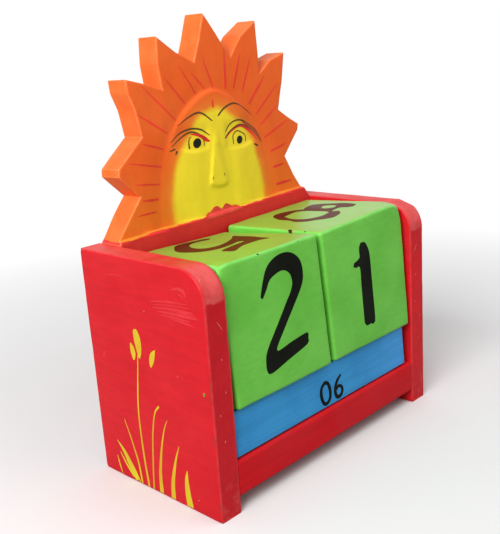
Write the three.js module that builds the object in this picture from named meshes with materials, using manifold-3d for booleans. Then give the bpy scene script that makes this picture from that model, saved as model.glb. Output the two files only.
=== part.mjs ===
// A wooden desk calendar. Two number cubes show the day and three month bars lie under them.
// A frame of four boards holds them, and its back board is carved into a sun above the cubes.
// Lengths are millimetres and angles degrees. X runs across the front, Y to the back, Z up.
// The origin is on the table, midway between the side panels and midway from front to back.
import * as THREE from 'three';
import { RoundedBoxGeometry } from 'three/addons/geometries/RoundedBoxGeometry.js';
import { mergeVertices } from 'three/addons/utils/BufferGeometryUtils.js';
import Module from 'manifold-3d';

// Side panels: upright boards whose lower edges are the feet
const PANEL_THICKNESS = 7.6;
const PANEL_ABOVE_CUBES = 0.6;
const PANEL_CORNER_RADIUS = 8.6;
const PANEL_EDGE_ROUND = 0.6;

// Base board: nailed between the panels so that its top leans towards the back
const BASE_LIFT = 4.7;
const BASE_THICKNESS = 10.6;
const BASE_EDGE_ROUND = 1.2;
const SEAT_LEAN = 3.6;

// Sun board: the plain lower part stands behind the cubes, the carved part above them.
// Rises are counted from the side panels' tops.
const SUN_BOARD_THICKNESS = 9.3;
const SUN_BOARD_LIFT = 4.7;
const SUN_RISE = 63.1;
const LEDGE_RISE_LEFT = 0.6;
const LEDGE_RISE_RIGHT = 3.5;
const LEDGE_RUN = 0.8;
const RAY_CARVING = 1.5;

// The carved face, which stays nearer to the board's old surface than the rays do
const FACE_OFFSET = -0.7;
const FACE_HALF_WIDTH = 24;
const FACE_RISE = 40.9;
const FACE_UP_POWER = 2.6;
const FACE_ACROSS_POWER = 1.6;
const FACE_DEPTH_SHARE = 0.62;
const FACE_CARVING = 0.9;
const FACE_SIDE_FALL = 0.1;
const FACE_RIM_RUN = 2.2;
const RIM_GROOVE = 0.4;
const RIM_GROOVE_RUN = 4;
const EYE_RISE = 22.6;
const EYE_HOLLOW = 0.5;
const EYE_HOLLOW_RISE = 8;
const EYE_LEDGE_RUN = 1;
const NOSE_OFFSET = 0.4;
const NOSE_TOP_RISE = 29.6;
const NOSE_BOTTOM_RISE = 10.6;
const NOSE_TOP_HALF_WIDTH = 2;
const NOSE_BOTTOM_HALF_WIDTH = 4.6;
const NOSE_RAISE = 0.9;
const NOSE_SIDE_RUN = 1.3;

// Number cubes, a little taller than wide, and the gaps that they leave beside and behind them
const CUBE_SIDE = 39.2;
const CUBE_HEIGHT = 39.8;
const CUBE_EDGE_RADIUS = 2;
const LEFT_CUBE_GAP = 1.1;
const MIDDLE_CUBE_GAP = 2.1;
const RIGHT_CUBE_GAP = 3.2;
const BOARD_CUBE_GAP = 0.26;

// Month bars: their thickness fills the depth before the sun board
const BAR_COUNT = 3;
const BAR_EDGE_RADIUS = 0.9;
const BAR_SETBACK = 0.6;
const BAR_END_GAP = 0.6;
const BOARD_BAR_GAP = 0.35;

// Brads: sunk into the panels, filled over and painted
const BRAD_RADIUS = 0.8;
const BRAD_HEAD_RADIUS = 1.1;
const BRAD_HEAD_HEIGHT = 0.8;
const BRAD_POINT_LENGTH = 2;
const BRAD_LENGTH = 24;
const BRAD_COVER = 1.5;
const BASE_BRAD_INSET = 12;
const SUN_BRAD_LOW_SHARE = 0.35;
const SUN_BRAD_HIGH_SHARE = 0.8;

// Running clearance between pieces, and how far a cutting solid passes what it cuts
const CLEARANCE = 0.3;
const OVERRUN = 1;

// How finely curves and the carving are divided
const CARVING_COLUMNS = 52;
const CARVING_ROWS = 38;
const CORNER_SEGMENTS = 10;
const EDGE_SEGMENTS = 2;
const BRAD_SIDES = 12;

// Sizes that follow across the front
const INNER_WIDTH = LEFT_CUBE_GAP + 2 * CUBE_SIDE + MIDDLE_CUBE_GAP + RIGHT_CUBE_GAP;
const INNER_LEFT = -INNER_WIDTH / 2;
const FRAME_WIDTH = INNER_WIDTH + 2 * PANEL_THICKNESS;
const BAR_LENGTH = INNER_WIDTH - BAR_END_GAP - RIGHT_CUBE_GAP;

// Sizes that follow from front to back. A leaning cube takes up more depth than its side.
const LEAN = THREE.MathUtils.degToRad(SEAT_LEAN);
const CUBE_FLAT = CUBE_SIDE - 2 * CUBE_EDGE_RADIUS;
const CUBE_UPRIGHT = CUBE_HEIGHT - 2 * CUBE_EDGE_RADIUS;
const CUBE_TURNED = CUBE_FLAT * Math.cos(LEAN) + CUBE_UPRIGHT * Math.sin(LEAN);
const CUBE_REACH = CUBE_TURNED + 2 * CUBE_EDGE_RADIUS;
const INNER_DEPTH = CUBE_REACH + BOARD_CUBE_GAP;
const FRAME_DEPTH = INNER_DEPTH + SUN_BOARD_THICKNESS;
const FRONT = -FRAME_DEPTH / 2;
const BAR_ROW = (INNER_DEPTH - BOARD_BAR_GAP - CLEARANCE * Math.sin(LEAN)) / Math.cos(LEAN);
const BAR_GAPS = (BAR_COUNT - 1) * CLEARANCE;
const BAR_SIDE = (BAR_ROW - BAR_SETBACK - BAR_GAPS) / (BAR_COUNT + Math.tan(LEAN));

// Heights that follow
const SEAT_HEIGHT = BASE_LIFT + BASE_THICKNESS;
const STACK_HEIGHT = BAR_SIDE + CUBE_HEIGHT + 2 * CLEARANCE;
const PANEL_HEIGHT = SEAT_HEIGHT + STACK_HEIGHT + PANEL_ABOVE_CUBES;
const FACE_BASE = PANEL_HEIGHT + (LEDGE_RISE_LEFT + LEDGE_RISE_RIGHT) / 2;
const FACE_TOP = PANEL_HEIGHT + FACE_RISE;
const EYE_LINE = PANEL_HEIGHT + EYE_RISE;
const NOSE_TOP = PANEL_HEIGHT + NOSE_TOP_RISE;
const NOSE_BOTTOM = PANEL_HEIGHT + NOSE_BOTTOM_RISE;

// The sun's outline from the left panel's top round to the right one's.
// Each point is a share of half the board's width and a share of the rise above the panels.
const SUN_OUTLINE_SHARES = [
  [-1, 0], [-0.757, 0.195], [-0.921, 0.3], [-0.917, 0.335], [-0.693, 0.463],
  [-0.731, 0.588], [-0.778, 0.664], [-0.786, 0.724], [-0.64, 0.7], [-0.478, 0.665],
  [-0.5, 0.78], [-0.49, 0.903], [-0.33, 0.83], [-0.163, 0.777], [-0.1, 0.88],
  [-0.04, 1], [0.08, 0.9], [0.205, 0.789], [0.33, 0.89], [0.495, 0.96],
  [0.507, 0.82], [0.513, 0.698], [0.64, 0.76], [0.81, 0.794], [0.77, 0.65],
  [0.71, 0.501], [0.83, 0.45], [0.942, 0.41], [0.93, 0.375], [0.755, 0.247],
  [0.85, 0.14], [1, 0],
];

const wasm = await Module();
wasm.setup();

// Turns a closed three.js geometry into a solid that can be cut.
function toSolid(geometry) {
  const bare = geometry.clone();
  bare.deleteAttribute('normal');
  bare.deleteAttribute('uv');
  const merged = mergeVertices(bare);
  const vertProperties = new Float32Array(merged.attributes.position.array);
  const triVerts = new Uint32Array(merged.index.array);
  return new wasm.Manifold(new wasm.Mesh({ numProp: 3, vertProperties, triVerts }));
}

// Turns a cut solid back into a three.js geometry.
function toGeometry(solid) {
  const { vertProperties, triVerts } = solid.getMesh();
  const geometry = new THREE.BufferGeometry();
  geometry.setAttribute('position', new THREE.BufferAttribute(new Float32Array(vertProperties), 3));
  geometry.setIndex(new THREE.BufferAttribute(new Uint32Array(triVerts), 1));
  geometry.computeVertexNormals();
  return geometry;
}

function makeMesh(name, geometry, color) {
  const material = new THREE.MeshStandardMaterial({ color, roughness: 0.55, metalness: 0 });
  const mesh = new THREE.Mesh(geometry, material);
  mesh.name = name;
  return mesh;
}

// Stands a profile drawn in depth and height upright, so that it is extruded along X.
function standAcross(geometry) {
  const across = new THREE.Matrix4().makeBasis(
    new THREE.Vector3(0, 1, 0),
    new THREE.Vector3(0, 0, 1),
    new THREE.Vector3(1, 0, 0),
  );
  return geometry.applyMatrix4(across);
}

// A plain board profile whose upper front corner is an arc.
function panelProfile() {
  const shape = new THREE.Shape();
  shape.moveTo(0, 0);
  shape.lineTo(FRAME_DEPTH, 0);
  shape.lineTo(FRAME_DEPTH, PANEL_HEIGHT);
  shape.lineTo(PANEL_CORNER_RADIUS, PANEL_HEIGHT);
  const arcHeight = PANEL_HEIGHT - PANEL_CORNER_RADIUS;
  shape.absarc(PANEL_CORNER_RADIUS, arcHeight, PANEL_CORNER_RADIUS, Math.PI / 2, Math.PI, false);
  return shape;
}

// The places of one side's brads, as depth behind the frame's front and height.
function bradPlaces() {
  const baseMiddle = (depth) => BASE_LIFT + BASE_THICKNESS / 2 - depth * Math.tan(LEAN);
  const frontDepth = BASE_BRAD_INSET;
  const rearDepth = INNER_DEPTH - BASE_BRAD_INSET;
  const boardDepth = INNER_DEPTH + SUN_BOARD_THICKNESS / 2;
  return [
    { label: 'base_brad_front', depth: frontDepth, height: baseMiddle(frontDepth) },
    { label: 'base_brad_rear', depth: rearDepth, height: baseMiddle(rearDepth) },
    { label: 'sun_brad_low', depth: boardDepth, height: PANEL_HEIGHT * SUN_BRAD_LOW_SHARE },
    { label: 'sun_brad_high', depth: boardDepth, height: PANEL_HEIGHT * SUN_BRAD_HIGH_SHARE },
  ];
}

// A body of revolution about a line along X. side is -1 for the left panel, +1 for the right.
function turnedAcross(profile, side, place) {
  const points = profile.map(([radius, along]) => new THREE.Vector2(radius, along));
  const geometry = new THREE.LatheGeometry(points, BRAD_SIDES);
  geometry.rotateZ((side * Math.PI) / 2);
  const headX = side * (FRAME_WIDTH / 2 - BRAD_COVER);
  return geometry.translate(headX, FRONT + place.depth, place.height);
}

function bradGeometry(side, place) {
  const pointStart = BRAD_LENGTH - BRAD_POINT_LENGTH;
  const profile = [
    [0, 0],
    [BRAD_HEAD_RADIUS, 0],
    [BRAD_HEAD_RADIUS, BRAD_HEAD_HEIGHT],
    [BRAD_RADIUS, BRAD_HEAD_HEIGHT],
    [BRAD_RADIUS, pointStart],
    [0, BRAD_LENGTH],
  ];
  return turnedAcross(profile, side, place);
}

// The hole for a brad. It starts under the panel's skin and ends past the brad's point.
function bradHole(side, place) {
  const radius = BRAD_HEAD_RADIUS + CLEARANCE;
  const end = BRAD_LENGTH + CLEARANCE;
  const profile = [
    [0, -CLEARANCE],
    [radius, -CLEARANCE],
    [radius, end],
    [0, end],
  ];
  return toSolid(turnedAcross(profile, side, place));
}

function drillForBrads(solid, side) {
  return bradPlaces().reduce((rest, place) => rest.subtract(bradHole(side, place)), solid);
}

function sidePanel(name, side) {
  const geometry = new THREE.ExtrudeGeometry(panelProfile(), {
    depth: PANEL_THICKNESS - 2 * PANEL_EDGE_ROUND,
    curveSegments: CORNER_SEGMENTS,
    bevelThickness: PANEL_EDGE_ROUND,
    bevelSize: PANEL_EDGE_ROUND,
    bevelOffset: -PANEL_EDGE_ROUND,
    bevelSegments: EDGE_SEGMENTS,
  });
  standAcross(geometry);
  const left = side < 0 ? -FRAME_WIDTH / 2 : FRAME_WIDTH / 2 - PANEL_THICKNESS;
  geometry.translate(left + PANEL_EDGE_ROUND, FRONT, 0);
  return makeMesh(name, toGeometry(drillForBrads(toSolid(geometry), side)), '#c8262e');
}

// The base board's side view: its top and bottom fall towards the back by the seat's lean.
function baseBoard() {
  const backDrop = INNER_DEPTH * Math.tan(LEAN);
  const edgeDrop = BASE_EDGE_ROUND * Math.tan(LEAN);
  const topEdge = SEAT_HEIGHT - edgeDrop;
  const shape = new THREE.Shape();
  shape.moveTo(0, BASE_LIFT);
  shape.lineTo(INNER_DEPTH, BASE_LIFT - backDrop);
  shape.lineTo(INNER_DEPTH, SEAT_HEIGHT - backDrop);
  shape.lineTo(BASE_EDGE_ROUND, topEdge);
  shape.quadraticCurveTo(0, topEdge, 0, topEdge - BASE_EDGE_ROUND);
  const geometry = new THREE.ExtrudeGeometry(shape, {
    depth: INNER_WIDTH,
    curveSegments: CORNER_SEGMENTS,
    bevelEnabled: false,
  });
  standAcross(geometry);
  geometry.translate(INNER_LEFT, FRONT, 0);
  const drilled = drillForBrads(drillForBrads(toSolid(geometry), -1), 1);
  return makeMesh('base_board', toGeometry(drilled), '#c8262e');
}

// The sun board's front view, cut through a slab that is thicker than the board.
function sunOutlineSolid() {
  const halfWidth = INNER_WIDTH / 2;
  const shape = new THREE.Shape();
  shape.moveTo(halfWidth, SUN_BOARD_LIFT);
  SUN_OUTLINE_SHARES.toReversed().forEach(([acrossShare, riseShare]) => {
    shape.lineTo(acrossShare * halfWidth, PANEL_HEIGHT + riseShare * SUN_RISE);
  });
  shape.lineTo(-halfWidth, SUN_BOARD_LIFT);
  const geometry = new THREE.ExtrudeGeometry(shape, {
    depth: SUN_BOARD_THICKNESS + 2 * OVERRUN,
    bevelEnabled: false,
  });
  const upright = new THREE.Matrix4().makeBasis(
    new THREE.Vector3(1, 0, 0),
    new THREE.Vector3(0, 0, 1),
    new THREE.Vector3(0, -1, 0),
  );
  geometry.applyMatrix4(upright);
  geometry.translate(0, FRAME_DEPTH / 2 + OVERRUN, 0);
  return toSolid(geometry);
}

function ledgeHeight(x) {
  const share = (x - INNER_LEFT) / INNER_WIDTH;
  return PANEL_HEIGHT + THREE.MathUtils.lerp(LEDGE_RISE_LEFT, LEDGE_RISE_RIGHT, share);
}

// How far inside the face's arched edge a point lies, negative outside it.
function depthInsideFace(x, z) {
  const across = Math.abs(x - FACE_OFFSET) / FACE_HALF_WIDTH;
  const up = Math.max(0, z - FACE_BASE) / (FACE_TOP - FACE_BASE);
  const level = up ** FACE_UP_POWER + across ** FACE_ACROSS_POWER;
  return (1 - level) * FACE_HALF_WIDTH * FACE_DEPTH_SHARE;
}

// How far the face is carved below the board's surface, deeper at its sides and eyes.
function faceCarving(x, z) {
  const { smoothstep, lerp } = THREE.MathUtils;
  const across = (x - FACE_OFFSET) / FACE_HALF_WIDTH;
  const underEyes = smoothstep(z, EYE_LINE - EYE_LEDGE_RUN / 2, EYE_LINE + EYE_LEDGE_RUN / 2);
  const hollowFade = 1 - smoothstep(z, EYE_LINE + EYE_HOLLOW_RISE / 2, EYE_LINE + EYE_HOLLOW_RISE);
  const surface = FACE_CARVING + FACE_SIDE_FALL * across ** 2 + EYE_HOLLOW * underEyes * hollowFade;
  const down = THREE.MathUtils.clamp((NOSE_TOP - z) / (NOSE_TOP - NOSE_BOTTOM), 0, 1);
  const noseHalfWidth = lerp(NOSE_TOP_HALF_WIDTH, NOSE_BOTTOM_HALF_WIDTH, down);
  const insideNose = noseHalfWidth - Math.abs(x - NOSE_OFFSET);
  const noseSide = smoothstep(insideNose, 0, NOSE_SIDE_RUN);
  const noseEnd = smoothstep(z, NOSE_BOTTOM - EYE_LEDGE_RUN / 2, NOSE_BOTTOM + EYE_LEDGE_RUN / 2);
  const noseRoot = 1 - smoothstep(z, NOSE_TOP - EYE_HOLLOW_RISE / 2, NOSE_TOP);
  return surface - NOSE_RAISE * noseSide * noseEnd * noseRoot;
}

// How far the carved part lies below the board's old surface, deeper along the face's rim.
function carving(x, z) {
  const { smoothstep, lerp } = THREE.MathUtils;
  const insideFace = depthInsideFace(x, z);
  const rays = RAY_CARVING + RIM_GROOVE * (1 - smoothstep(-insideFace, 0, RIM_GROOVE_RUN));
  return lerp(rays, faceCarving(x, z), smoothstep(insideFace, 0, FACE_RIM_RUN));
}

// Heights of one column of the carved surface: the plain part, the ledge, then even steps.
function columnHeights(x) {
  const bottom = SUN_BOARD_LIFT - OVERRUN;
  const top = PANEL_HEIGHT + SUN_RISE + OVERRUN;
  const carvedFrom = ledgeHeight(x) + LEDGE_RUN;
  const heights = [bottom, ledgeHeight(x)];
  for (let row = 0; row <= CARVING_ROWS; row += 1) {
    heights.push(THREE.MathUtils.lerp(carvedFrom, top, row / CARVING_ROWS));
  }
  return heights;
}

// A slab a little larger than the board, with the carving on its front and a flat back.
// Its squares are split along the face's rim, which rises to the face's middle from each side.
function carvedSlab() {
  const left = INNER_LEFT - OVERRUN;
  const width = INNER_WIDTH + 2 * OVERRUN;
  const surface = FRONT + INNER_DEPTH;
  const back = FRAME_DEPTH / 2;
  const positions = [];
  const indices = [];
  const rows = columnHeights(left).length;
  const columns = CARVING_COLUMNS + 1;
  for (let column = 0; column < columns; column += 1) {
    const x = left + (width * column) / CARVING_COLUMNS;
    columnHeights(x).forEach((z) => {
      const depth = z > ledgeHeight(x) ? carving(x, z) : 0;
      positions.push(x, surface + depth, z);
    });
  }
  const frontCount = rows * columns;
  for (let index = 0; index < frontCount; index += 1) {
    positions.push(positions[3 * index], back, positions[3 * index + 2]);
  }
  // Two triangles that meet along the line from a to c.
  const quad = (a, b, c, d) => indices.push(a, b, c, a, c, d);
  for (let column = 0; column < CARVING_COLUMNS; column += 1) {
    for (let row = 0; row < rows - 1; row += 1) {
      const a = column * rows + row;
      const b = a + rows;
      if (positions[3 * a] < FACE_OFFSET) quad(a, b, b + 1, a + 1);
      else quad(b, b + 1, a + 1, a);
      quad(frontCount + a, frontCount + a + 1, frontCount + b + 1, frontCount + b);
    }
    const low = column * rows;
    const high = low + rows - 1;
    quad(low, frontCount + low, frontCount + low + rows, low + rows);
    quad(high, high + rows, frontCount + high + rows, frontCount + high);
  }
  const last = CARVING_COLUMNS * rows;
  for (let row = 0; row < rows - 1; row += 1) {
    quad(row, row + 1, frontCount + row + 1, frontCount + row);
    quad(last + row, frontCount + last + row, frontCount + last + row + 1, last + row + 1);
  }
  const geometry = new THREE.BufferGeometry();
  geometry.setAttribute('position', new THREE.Float32BufferAttribute(positions, 3));
  geometry.setIndex(indices);
  return toSolid(geometry);
}

function sunBoard() {
  const sawn = carvedSlab().intersect(sunOutlineSolid());
  const drilled = drillForBrads(drillForBrads(sawn, -1), 1);
  return makeMesh('sun_board', toGeometry(drilled), '#df6a2c');
}

function brads(side, sideName) {
  return bradPlaces().map((place) => {
    const geometry = toGeometry(toSolid(bradGeometry(side, place)));
    return makeMesh(`${sideName}_${place.label}`, geometry, '#8d8f92');
  });
}

function roundedBlock(width, depth, height, radius) {
  return toGeometry(toSolid(new RoundedBoxGeometry(width, depth, height, EDGE_SEGMENTS, radius)));
}

// Month bars lie side by side on the seat. place counts them from the front.
function monthBar(name, place) {
  const mesh = makeMesh(name, roundedBlock(BAR_LENGTH, BAR_SIDE, BAR_SIDE, BAR_EDGE_RADIUS), '#3a86c0');
  const x = INNER_LEFT + BAR_END_GAP + BAR_LENGTH / 2;
  const y = BAR_SETBACK + BAR_SIDE / 2 + place * (BAR_SIDE + CLEARANCE);
  mesh.position.set(x, y, CLEARANCE + BAR_SIDE / 2);
  return mesh;
}

// Number cubes stand on the bars and lean back until their top edge almost meets the board.
function numberCube(name, left) {
  const mesh = makeMesh(name, roundedBlock(CUBE_SIDE, CUBE_SIDE, CUBE_HEIGHT, CUBE_EDGE_RADIUS), '#5fb341');
  const bottom = BAR_SIDE + 2 * CLEARANCE;
  const roundTop = bottom + CUBE_HEIGHT - CUBE_EDGE_RADIUS;
  const roundReach = INNER_DEPTH - BOARD_CUBE_GAP - CUBE_EDGE_RADIUS;
  const roundBack = (roundReach - roundTop * Math.sin(LEAN)) / Math.cos(LEAN);
  const y = roundBack + CUBE_EDGE_RADIUS - CUBE_SIDE / 2;
  mesh.position.set(left + CUBE_SIDE / 2, y, bottom + CUBE_HEIGHT / 2);
  return mesh;
}

// What stands on the seat is drawn on a level seat, then leans back with it.
function leaningStack() {
  const leftCube = INNER_LEFT + LEFT_CUBE_GAP;
  const rightCube = leftCube + CUBE_SIDE + MIDDLE_CUBE_GAP;
  const stack = new THREE.Group();
  stack.add(
    monthBar('month_bar_front', 0),
    monthBar('month_bar_middle', 1),
    monthBar('month_bar_rear', 2),
    numberCube('left_number_cube', leftCube),
    numberCube('right_number_cube', rightCube),
  );
  stack.position.set(0, FRONT, SEAT_HEIGHT);
  stack.rotation.x = -LEAN;
  return stack;
}

const calendar = new THREE.Group();
calendar.add(
  sidePanel('left_side_panel', -1),
  sidePanel('right_side_panel', 1),
  baseBoard(),
  sunBoard(),
  ...brads(-1, 'left'),
  ...brads(1, 'right'),
  leaningStack(),
);

export default calendar;
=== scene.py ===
# A hand-painted wooden desk calendar: a red frame with a carved sun for its back board,
# number cubes for the day and square bars for the month. Places are metres in the shared frame:
# X runs to the right, Y to the back and Z up. Small sizes are written in millimetres times MM.
import math

import bmesh
import bpy
import numpy as np
from mathutils import Matrix, Vector, noise
from mathutils.geometry import delaunay_2d_cdt


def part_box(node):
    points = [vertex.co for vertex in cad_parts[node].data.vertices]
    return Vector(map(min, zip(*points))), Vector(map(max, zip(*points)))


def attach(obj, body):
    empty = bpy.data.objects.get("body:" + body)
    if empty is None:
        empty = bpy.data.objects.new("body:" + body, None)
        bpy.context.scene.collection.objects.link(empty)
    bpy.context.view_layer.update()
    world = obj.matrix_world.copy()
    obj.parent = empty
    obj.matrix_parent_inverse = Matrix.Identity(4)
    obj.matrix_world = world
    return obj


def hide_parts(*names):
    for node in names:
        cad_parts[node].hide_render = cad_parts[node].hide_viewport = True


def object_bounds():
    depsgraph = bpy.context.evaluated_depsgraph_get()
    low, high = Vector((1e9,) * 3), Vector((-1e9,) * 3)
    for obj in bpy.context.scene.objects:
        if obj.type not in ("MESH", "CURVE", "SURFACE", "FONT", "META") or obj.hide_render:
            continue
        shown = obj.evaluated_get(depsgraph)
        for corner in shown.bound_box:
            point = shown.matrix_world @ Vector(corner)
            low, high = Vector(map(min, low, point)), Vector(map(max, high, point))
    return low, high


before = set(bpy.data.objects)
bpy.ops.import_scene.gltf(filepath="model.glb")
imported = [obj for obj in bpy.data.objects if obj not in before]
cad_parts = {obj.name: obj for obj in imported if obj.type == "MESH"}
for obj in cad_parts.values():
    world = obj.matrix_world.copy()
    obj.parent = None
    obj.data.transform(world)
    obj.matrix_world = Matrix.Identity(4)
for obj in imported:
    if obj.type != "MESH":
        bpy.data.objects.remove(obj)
cad_low, cad_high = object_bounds()

MM = 0.001
scene = bpy.context.scene
scene.view_settings.view_transform = "Standard"

# The camera stands to the left of the calendar and a little above it, turned slightly on its
# own axis, as a hand-held picture of the object on a desk is taken.
PICTURE_WIDTH = 500
PICTURE_HEIGHT = 534
FOCAL_LENGTH_PIXELS = 789.4
CAMERA_AZIMUTH = math.radians(-45.53)
CAMERA_ELEVATION = math.radians(15.11)
CAMERA_ROLL = math.radians(-3.88)
CAMERA_DISTANCE = 234.8 * MM
CAMERA_TARGET = Vector((-11.5, -4.4, 58.7)) * MM
SENSOR_SIZE = 36

toward_camera = Vector(
    (
        math.sin(CAMERA_AZIMUTH) * math.cos(CAMERA_ELEVATION),
        -math.cos(CAMERA_AZIMUTH) * math.cos(CAMERA_ELEVATION),
        math.sin(CAMERA_ELEVATION),
    )
)
level_right = Vector((0, 0, 1)).cross(toward_camera).normalized()
level_up = toward_camera.cross(level_right)
camera_right = level_right * math.cos(CAMERA_ROLL) + level_up * math.sin(CAMERA_ROLL)
camera_up = toward_camera.cross(camera_right)
camera_data = bpy.data.cameras.new("camera")
camera_data.sensor_width = SENSOR_SIZE
camera_data.lens = FOCAL_LENGTH_PIXELS * SENSOR_SIZE / max(PICTURE_WIDTH, PICTURE_HEIGHT)
camera_data.clip_start = 10 * MM
camera = bpy.data.objects.new("camera", camera_data)
camera_turn = Matrix((camera_right, camera_up, toward_camera)).transposed().to_4x4()
camera_place = CAMERA_TARGET + toward_camera * CAMERA_DISTANCE
camera.matrix_world = Matrix.Translation(camera_place) @ camera_turn
scene.collection.objects.link(camera)
scene.camera = camera


# The side panels are sawn boards, sanded and brushed with red paint. They stand upright on
# their lower edges, and the boards between them are nailed through them with hidden brads.
PANEL_ARRIS = 0.45 * MM
PANEL_SPACING = 2.4 * MM
PANEL_WAVINESS = 0.09 * MM
PANEL_CORNER_RADIUS = 8.6 * MM
PANEL_CORNER_STEPS = 12
PANEL_SIDES = {"left": -1, "right": 1}
# The left panel's corner is round, and the right one's keeps a flat from the rasp up to this step.
FLAT_UNTIL_STEP = {"left": 1, "right": 5}
ARRIS_STEPS = 4
HUMP_SIZES = (11 * MM, 4 * MM)
SMOOTH_UNDER = math.radians(38)
SAWN_CORNER_TURN = math.radians(25)
# Sharp sawn corners get more of the pale edge colour: worn paint there, and a painted glint.
SAWN_CORNER_WEAR_AND_GLINT = 0.8
WELD_DISTANCE = 0.001 * MM
# How fine the brushed paint's patches, grain, scuffs and pale edges are, per metre. The pale edges
# are rubbed paint and a painted highlight.
PATCH_SCALE, GRAIN_SCALE, SCUFF_SCALE, EDGE_WEAR_AND_SHEEN_SCALE = 55, 1500, 90, 320
BRUSH_RELIEF = 0.12 * MM
CUT_ACCURACY = 1e-7
RED = (0.60, 0.008, 0.016)
# The right panel is painted a lighter red than the left: painted light, for the brighter light on
# its front edge.
RED_BY_SIDE = {"left": RED, "right": (0.78, 0.010, 0.016)}
RED_LIGHT = (0.64, 0.016, 0.023)
# The pale pink is worn paint, and also a painted highlight along the arrises.
RED_WORN_AND_LIT = (0.78, 0.10, 0.10)
# The top and the rounded corner are painted paler: worn there, and a painted highlight.
RED_RUBBED_AND_LIT = (0.72, 0.06, 0.048)
RED_CORNER = (0.74, 0.10, 0.095)
RUBBED_AND_LIT_FROM = (60.2 * MM, 61.1 * MM)
RUBBED_AND_LIT_BACK = (24.2 * MM, 25.2 * MM)
CORNER_TO_TOP = (-20 * MM, -14 * MM)
SCUFFED_FOOT = (14 * MM, 4 * MM)


def smooth_path(points, step, closed=False):
    """A Catmull-Rom path through points of any size, sampled about every step."""
    points = [np.array(point, float) for point in points]
    count = len(points)
    path = []
    for index in range(count if closed else count - 1):
        if closed:
            a, b, c, d = (points[(index + shift) % count] for shift in (-1, 0, 1, 2))
        else:
            b, c = points[index], points[index + 1]
            a = points[index - 1] if index else 2 * b - c
            d = points[index + 2] if index + 2 < count else 2 * c - b
        pieces = max(1, int(math.dist(b[:2], c[:2]) / step))
        for t in (piece / pieces for piece in range(pieces)):
            bend = (2 * a - 5 * b + 4 * c - d) * t**2 + (3 * b - a - 3 * c + d) * t**3
            path.append(b + 0.5 * ((c - a) * t + bend))
    return path if closed else path + [points[-1]]


def arc(middle, radius, start, end, steps):
    """Points on a circle from one angle to another, both given in quarter turns."""
    angles = [math.pi / 2 * (start + (end - start) * step / steps) for step in range(steps + 1)]
    return [(middle[0] + radius * math.cos(a), middle[1] + radius * math.sin(a)) for a in angles]


def even_outline(corners, step):
    """The sides of a polygon cut into equal pieces of about step; corners stay where they are."""
    path = []
    for start, end in zip(corners, corners[1:] + corners[:1]):
        pieces = max(1, round(math.dist(start, end) / step))
        for share in (piece / pieces for piece in range(pieces)):
            path.append(np.array(start) * (1 - share) + np.array(end) * share)
    return np.array(path)


def edge_distances(points, outline):
    """How far each point lies from an outline, negative outside it."""
    sides = np.roll(outline, -1, axis=0) - outline
    away = points[:, None, :] - outline[None, :, :]
    share = np.clip((away * sides).sum(2) / (sides**2).sum(1), 0, 1)
    nearest = np.sqrt(((away - share[:, :, None] * sides) ** 2).sum(2)).min(1)
    height = points[:, None, 1]
    crosses = (outline[:, 1] > height) != ((outline + sides)[:, 1] > height)
    rise = np.where(np.abs(sides[:, 1]) < 1e-12, 1e-12, sides[:, 1])
    cut = outline[:, 0] + (height - outline[:, 1]) * sides[:, 0] / rise
    inside = (crosses & (points[:, None, 0] < cut)).sum(1) % 2 == 1
    return np.where(inside, nearest, -nearest)


def grid_points(low, high, spacing):
    """A square grid of points between two corners."""
    lines = (np.arange(low[axis], high[axis], spacing) for axis in (0, 1))
    return np.stack(np.meshgrid(*lines), -1).reshape(-1, 2)


def board_surface(outline, arris, spacing):
    """Points and triangles that fill an outline, with rings of points along its rounded edge."""
    sides = np.roll(outline, -1, axis=0) - np.roll(outline, 1, axis=0)
    inward = np.stack([-sides[:, 1], sides[:, 0]], 1)
    inward /= np.linalg.norm(inward, axis=1)[:, None]
    turning = (outline * np.roll(outline, -1, axis=0)[:, ::-1] * (1, -1)).sum()
    inward *= 1 if turning > 0 else -1
    points = [outline]
    for step in range(1, ARRIS_STEPS + 1):
        inset = arris * (1 - math.cos(math.pi / 2 * step / ARRIS_STEPS))
        ring = outline + inward * inset
        points.append(ring[edge_distances(ring, outline) > inset - arris / 50])
    grid = grid_points(outline.min(0), outline.max(0), spacing)
    points.append(grid[edge_distances(grid, outline) > arris + spacing / 3])
    count = len(outline)
    edges = [(index, (index + 1) % count) for index in range(count)]
    corners = [Vector(point) for point in np.concatenate(points)]
    found = delaunay_2d_cdt(corners, edges, [], 1, CUT_ACCURACY)
    return np.array([tuple(v) for v in found[0]]), found[2]


def smooth_piece(name, mesh, smooth_under):
    """An object of the mesh, smooth apart from edges that turn by more than an angle."""
    mesh.name = name
    mesh.shade_smooth()
    mesh.set_sharp_from_angle(angle=smooth_under)
    piece = bpy.data.objects.new(name, mesh)
    scene.collection.objects.link(piece)
    return piece


def finish_mesh(name, vertices, faces, attributes, waviness):
    """A mesh object whose surface is as uneven as hand-sanded wood under paint."""
    mesh = bpy.data.meshes.new(name)
    mesh.from_pydata([tuple(v) for v in vertices], [], faces)
    work = bmesh.new()
    work.from_mesh(mesh)
    layers = {key: work.verts.layers.float.new(key) for key in attributes}
    for index, vertex in enumerate(work.verts):
        for key, layer in layers.items():
            vertex[layer] = attributes[key][index]
    bmesh.ops.remove_doubles(work, verts=work.verts, dist=WELD_DISTANCE)
    loose = [vertex for vertex in work.verts if not vertex.link_faces]
    bmesh.ops.delete(work, geom=loose, context="VERTS")
    bmesh.ops.recalc_face_normals(work, faces=work.faces)
    work.normal_update()
    wide, narrow = HUMP_SIZES
    for vertex in work.verts:
        hump = noise.noise(vertex.co / wide) + 0.5 * noise.noise(vertex.co / narrow)
        vertex.co += vertex.normal * (hump * waviness)
        vertex.co.z = max(vertex.co.z, cad_low.z)
    work.to_mesh(mesh)
    work.free()
    return smooth_piece(name, mesh, SMOOTH_UNDER)


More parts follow.
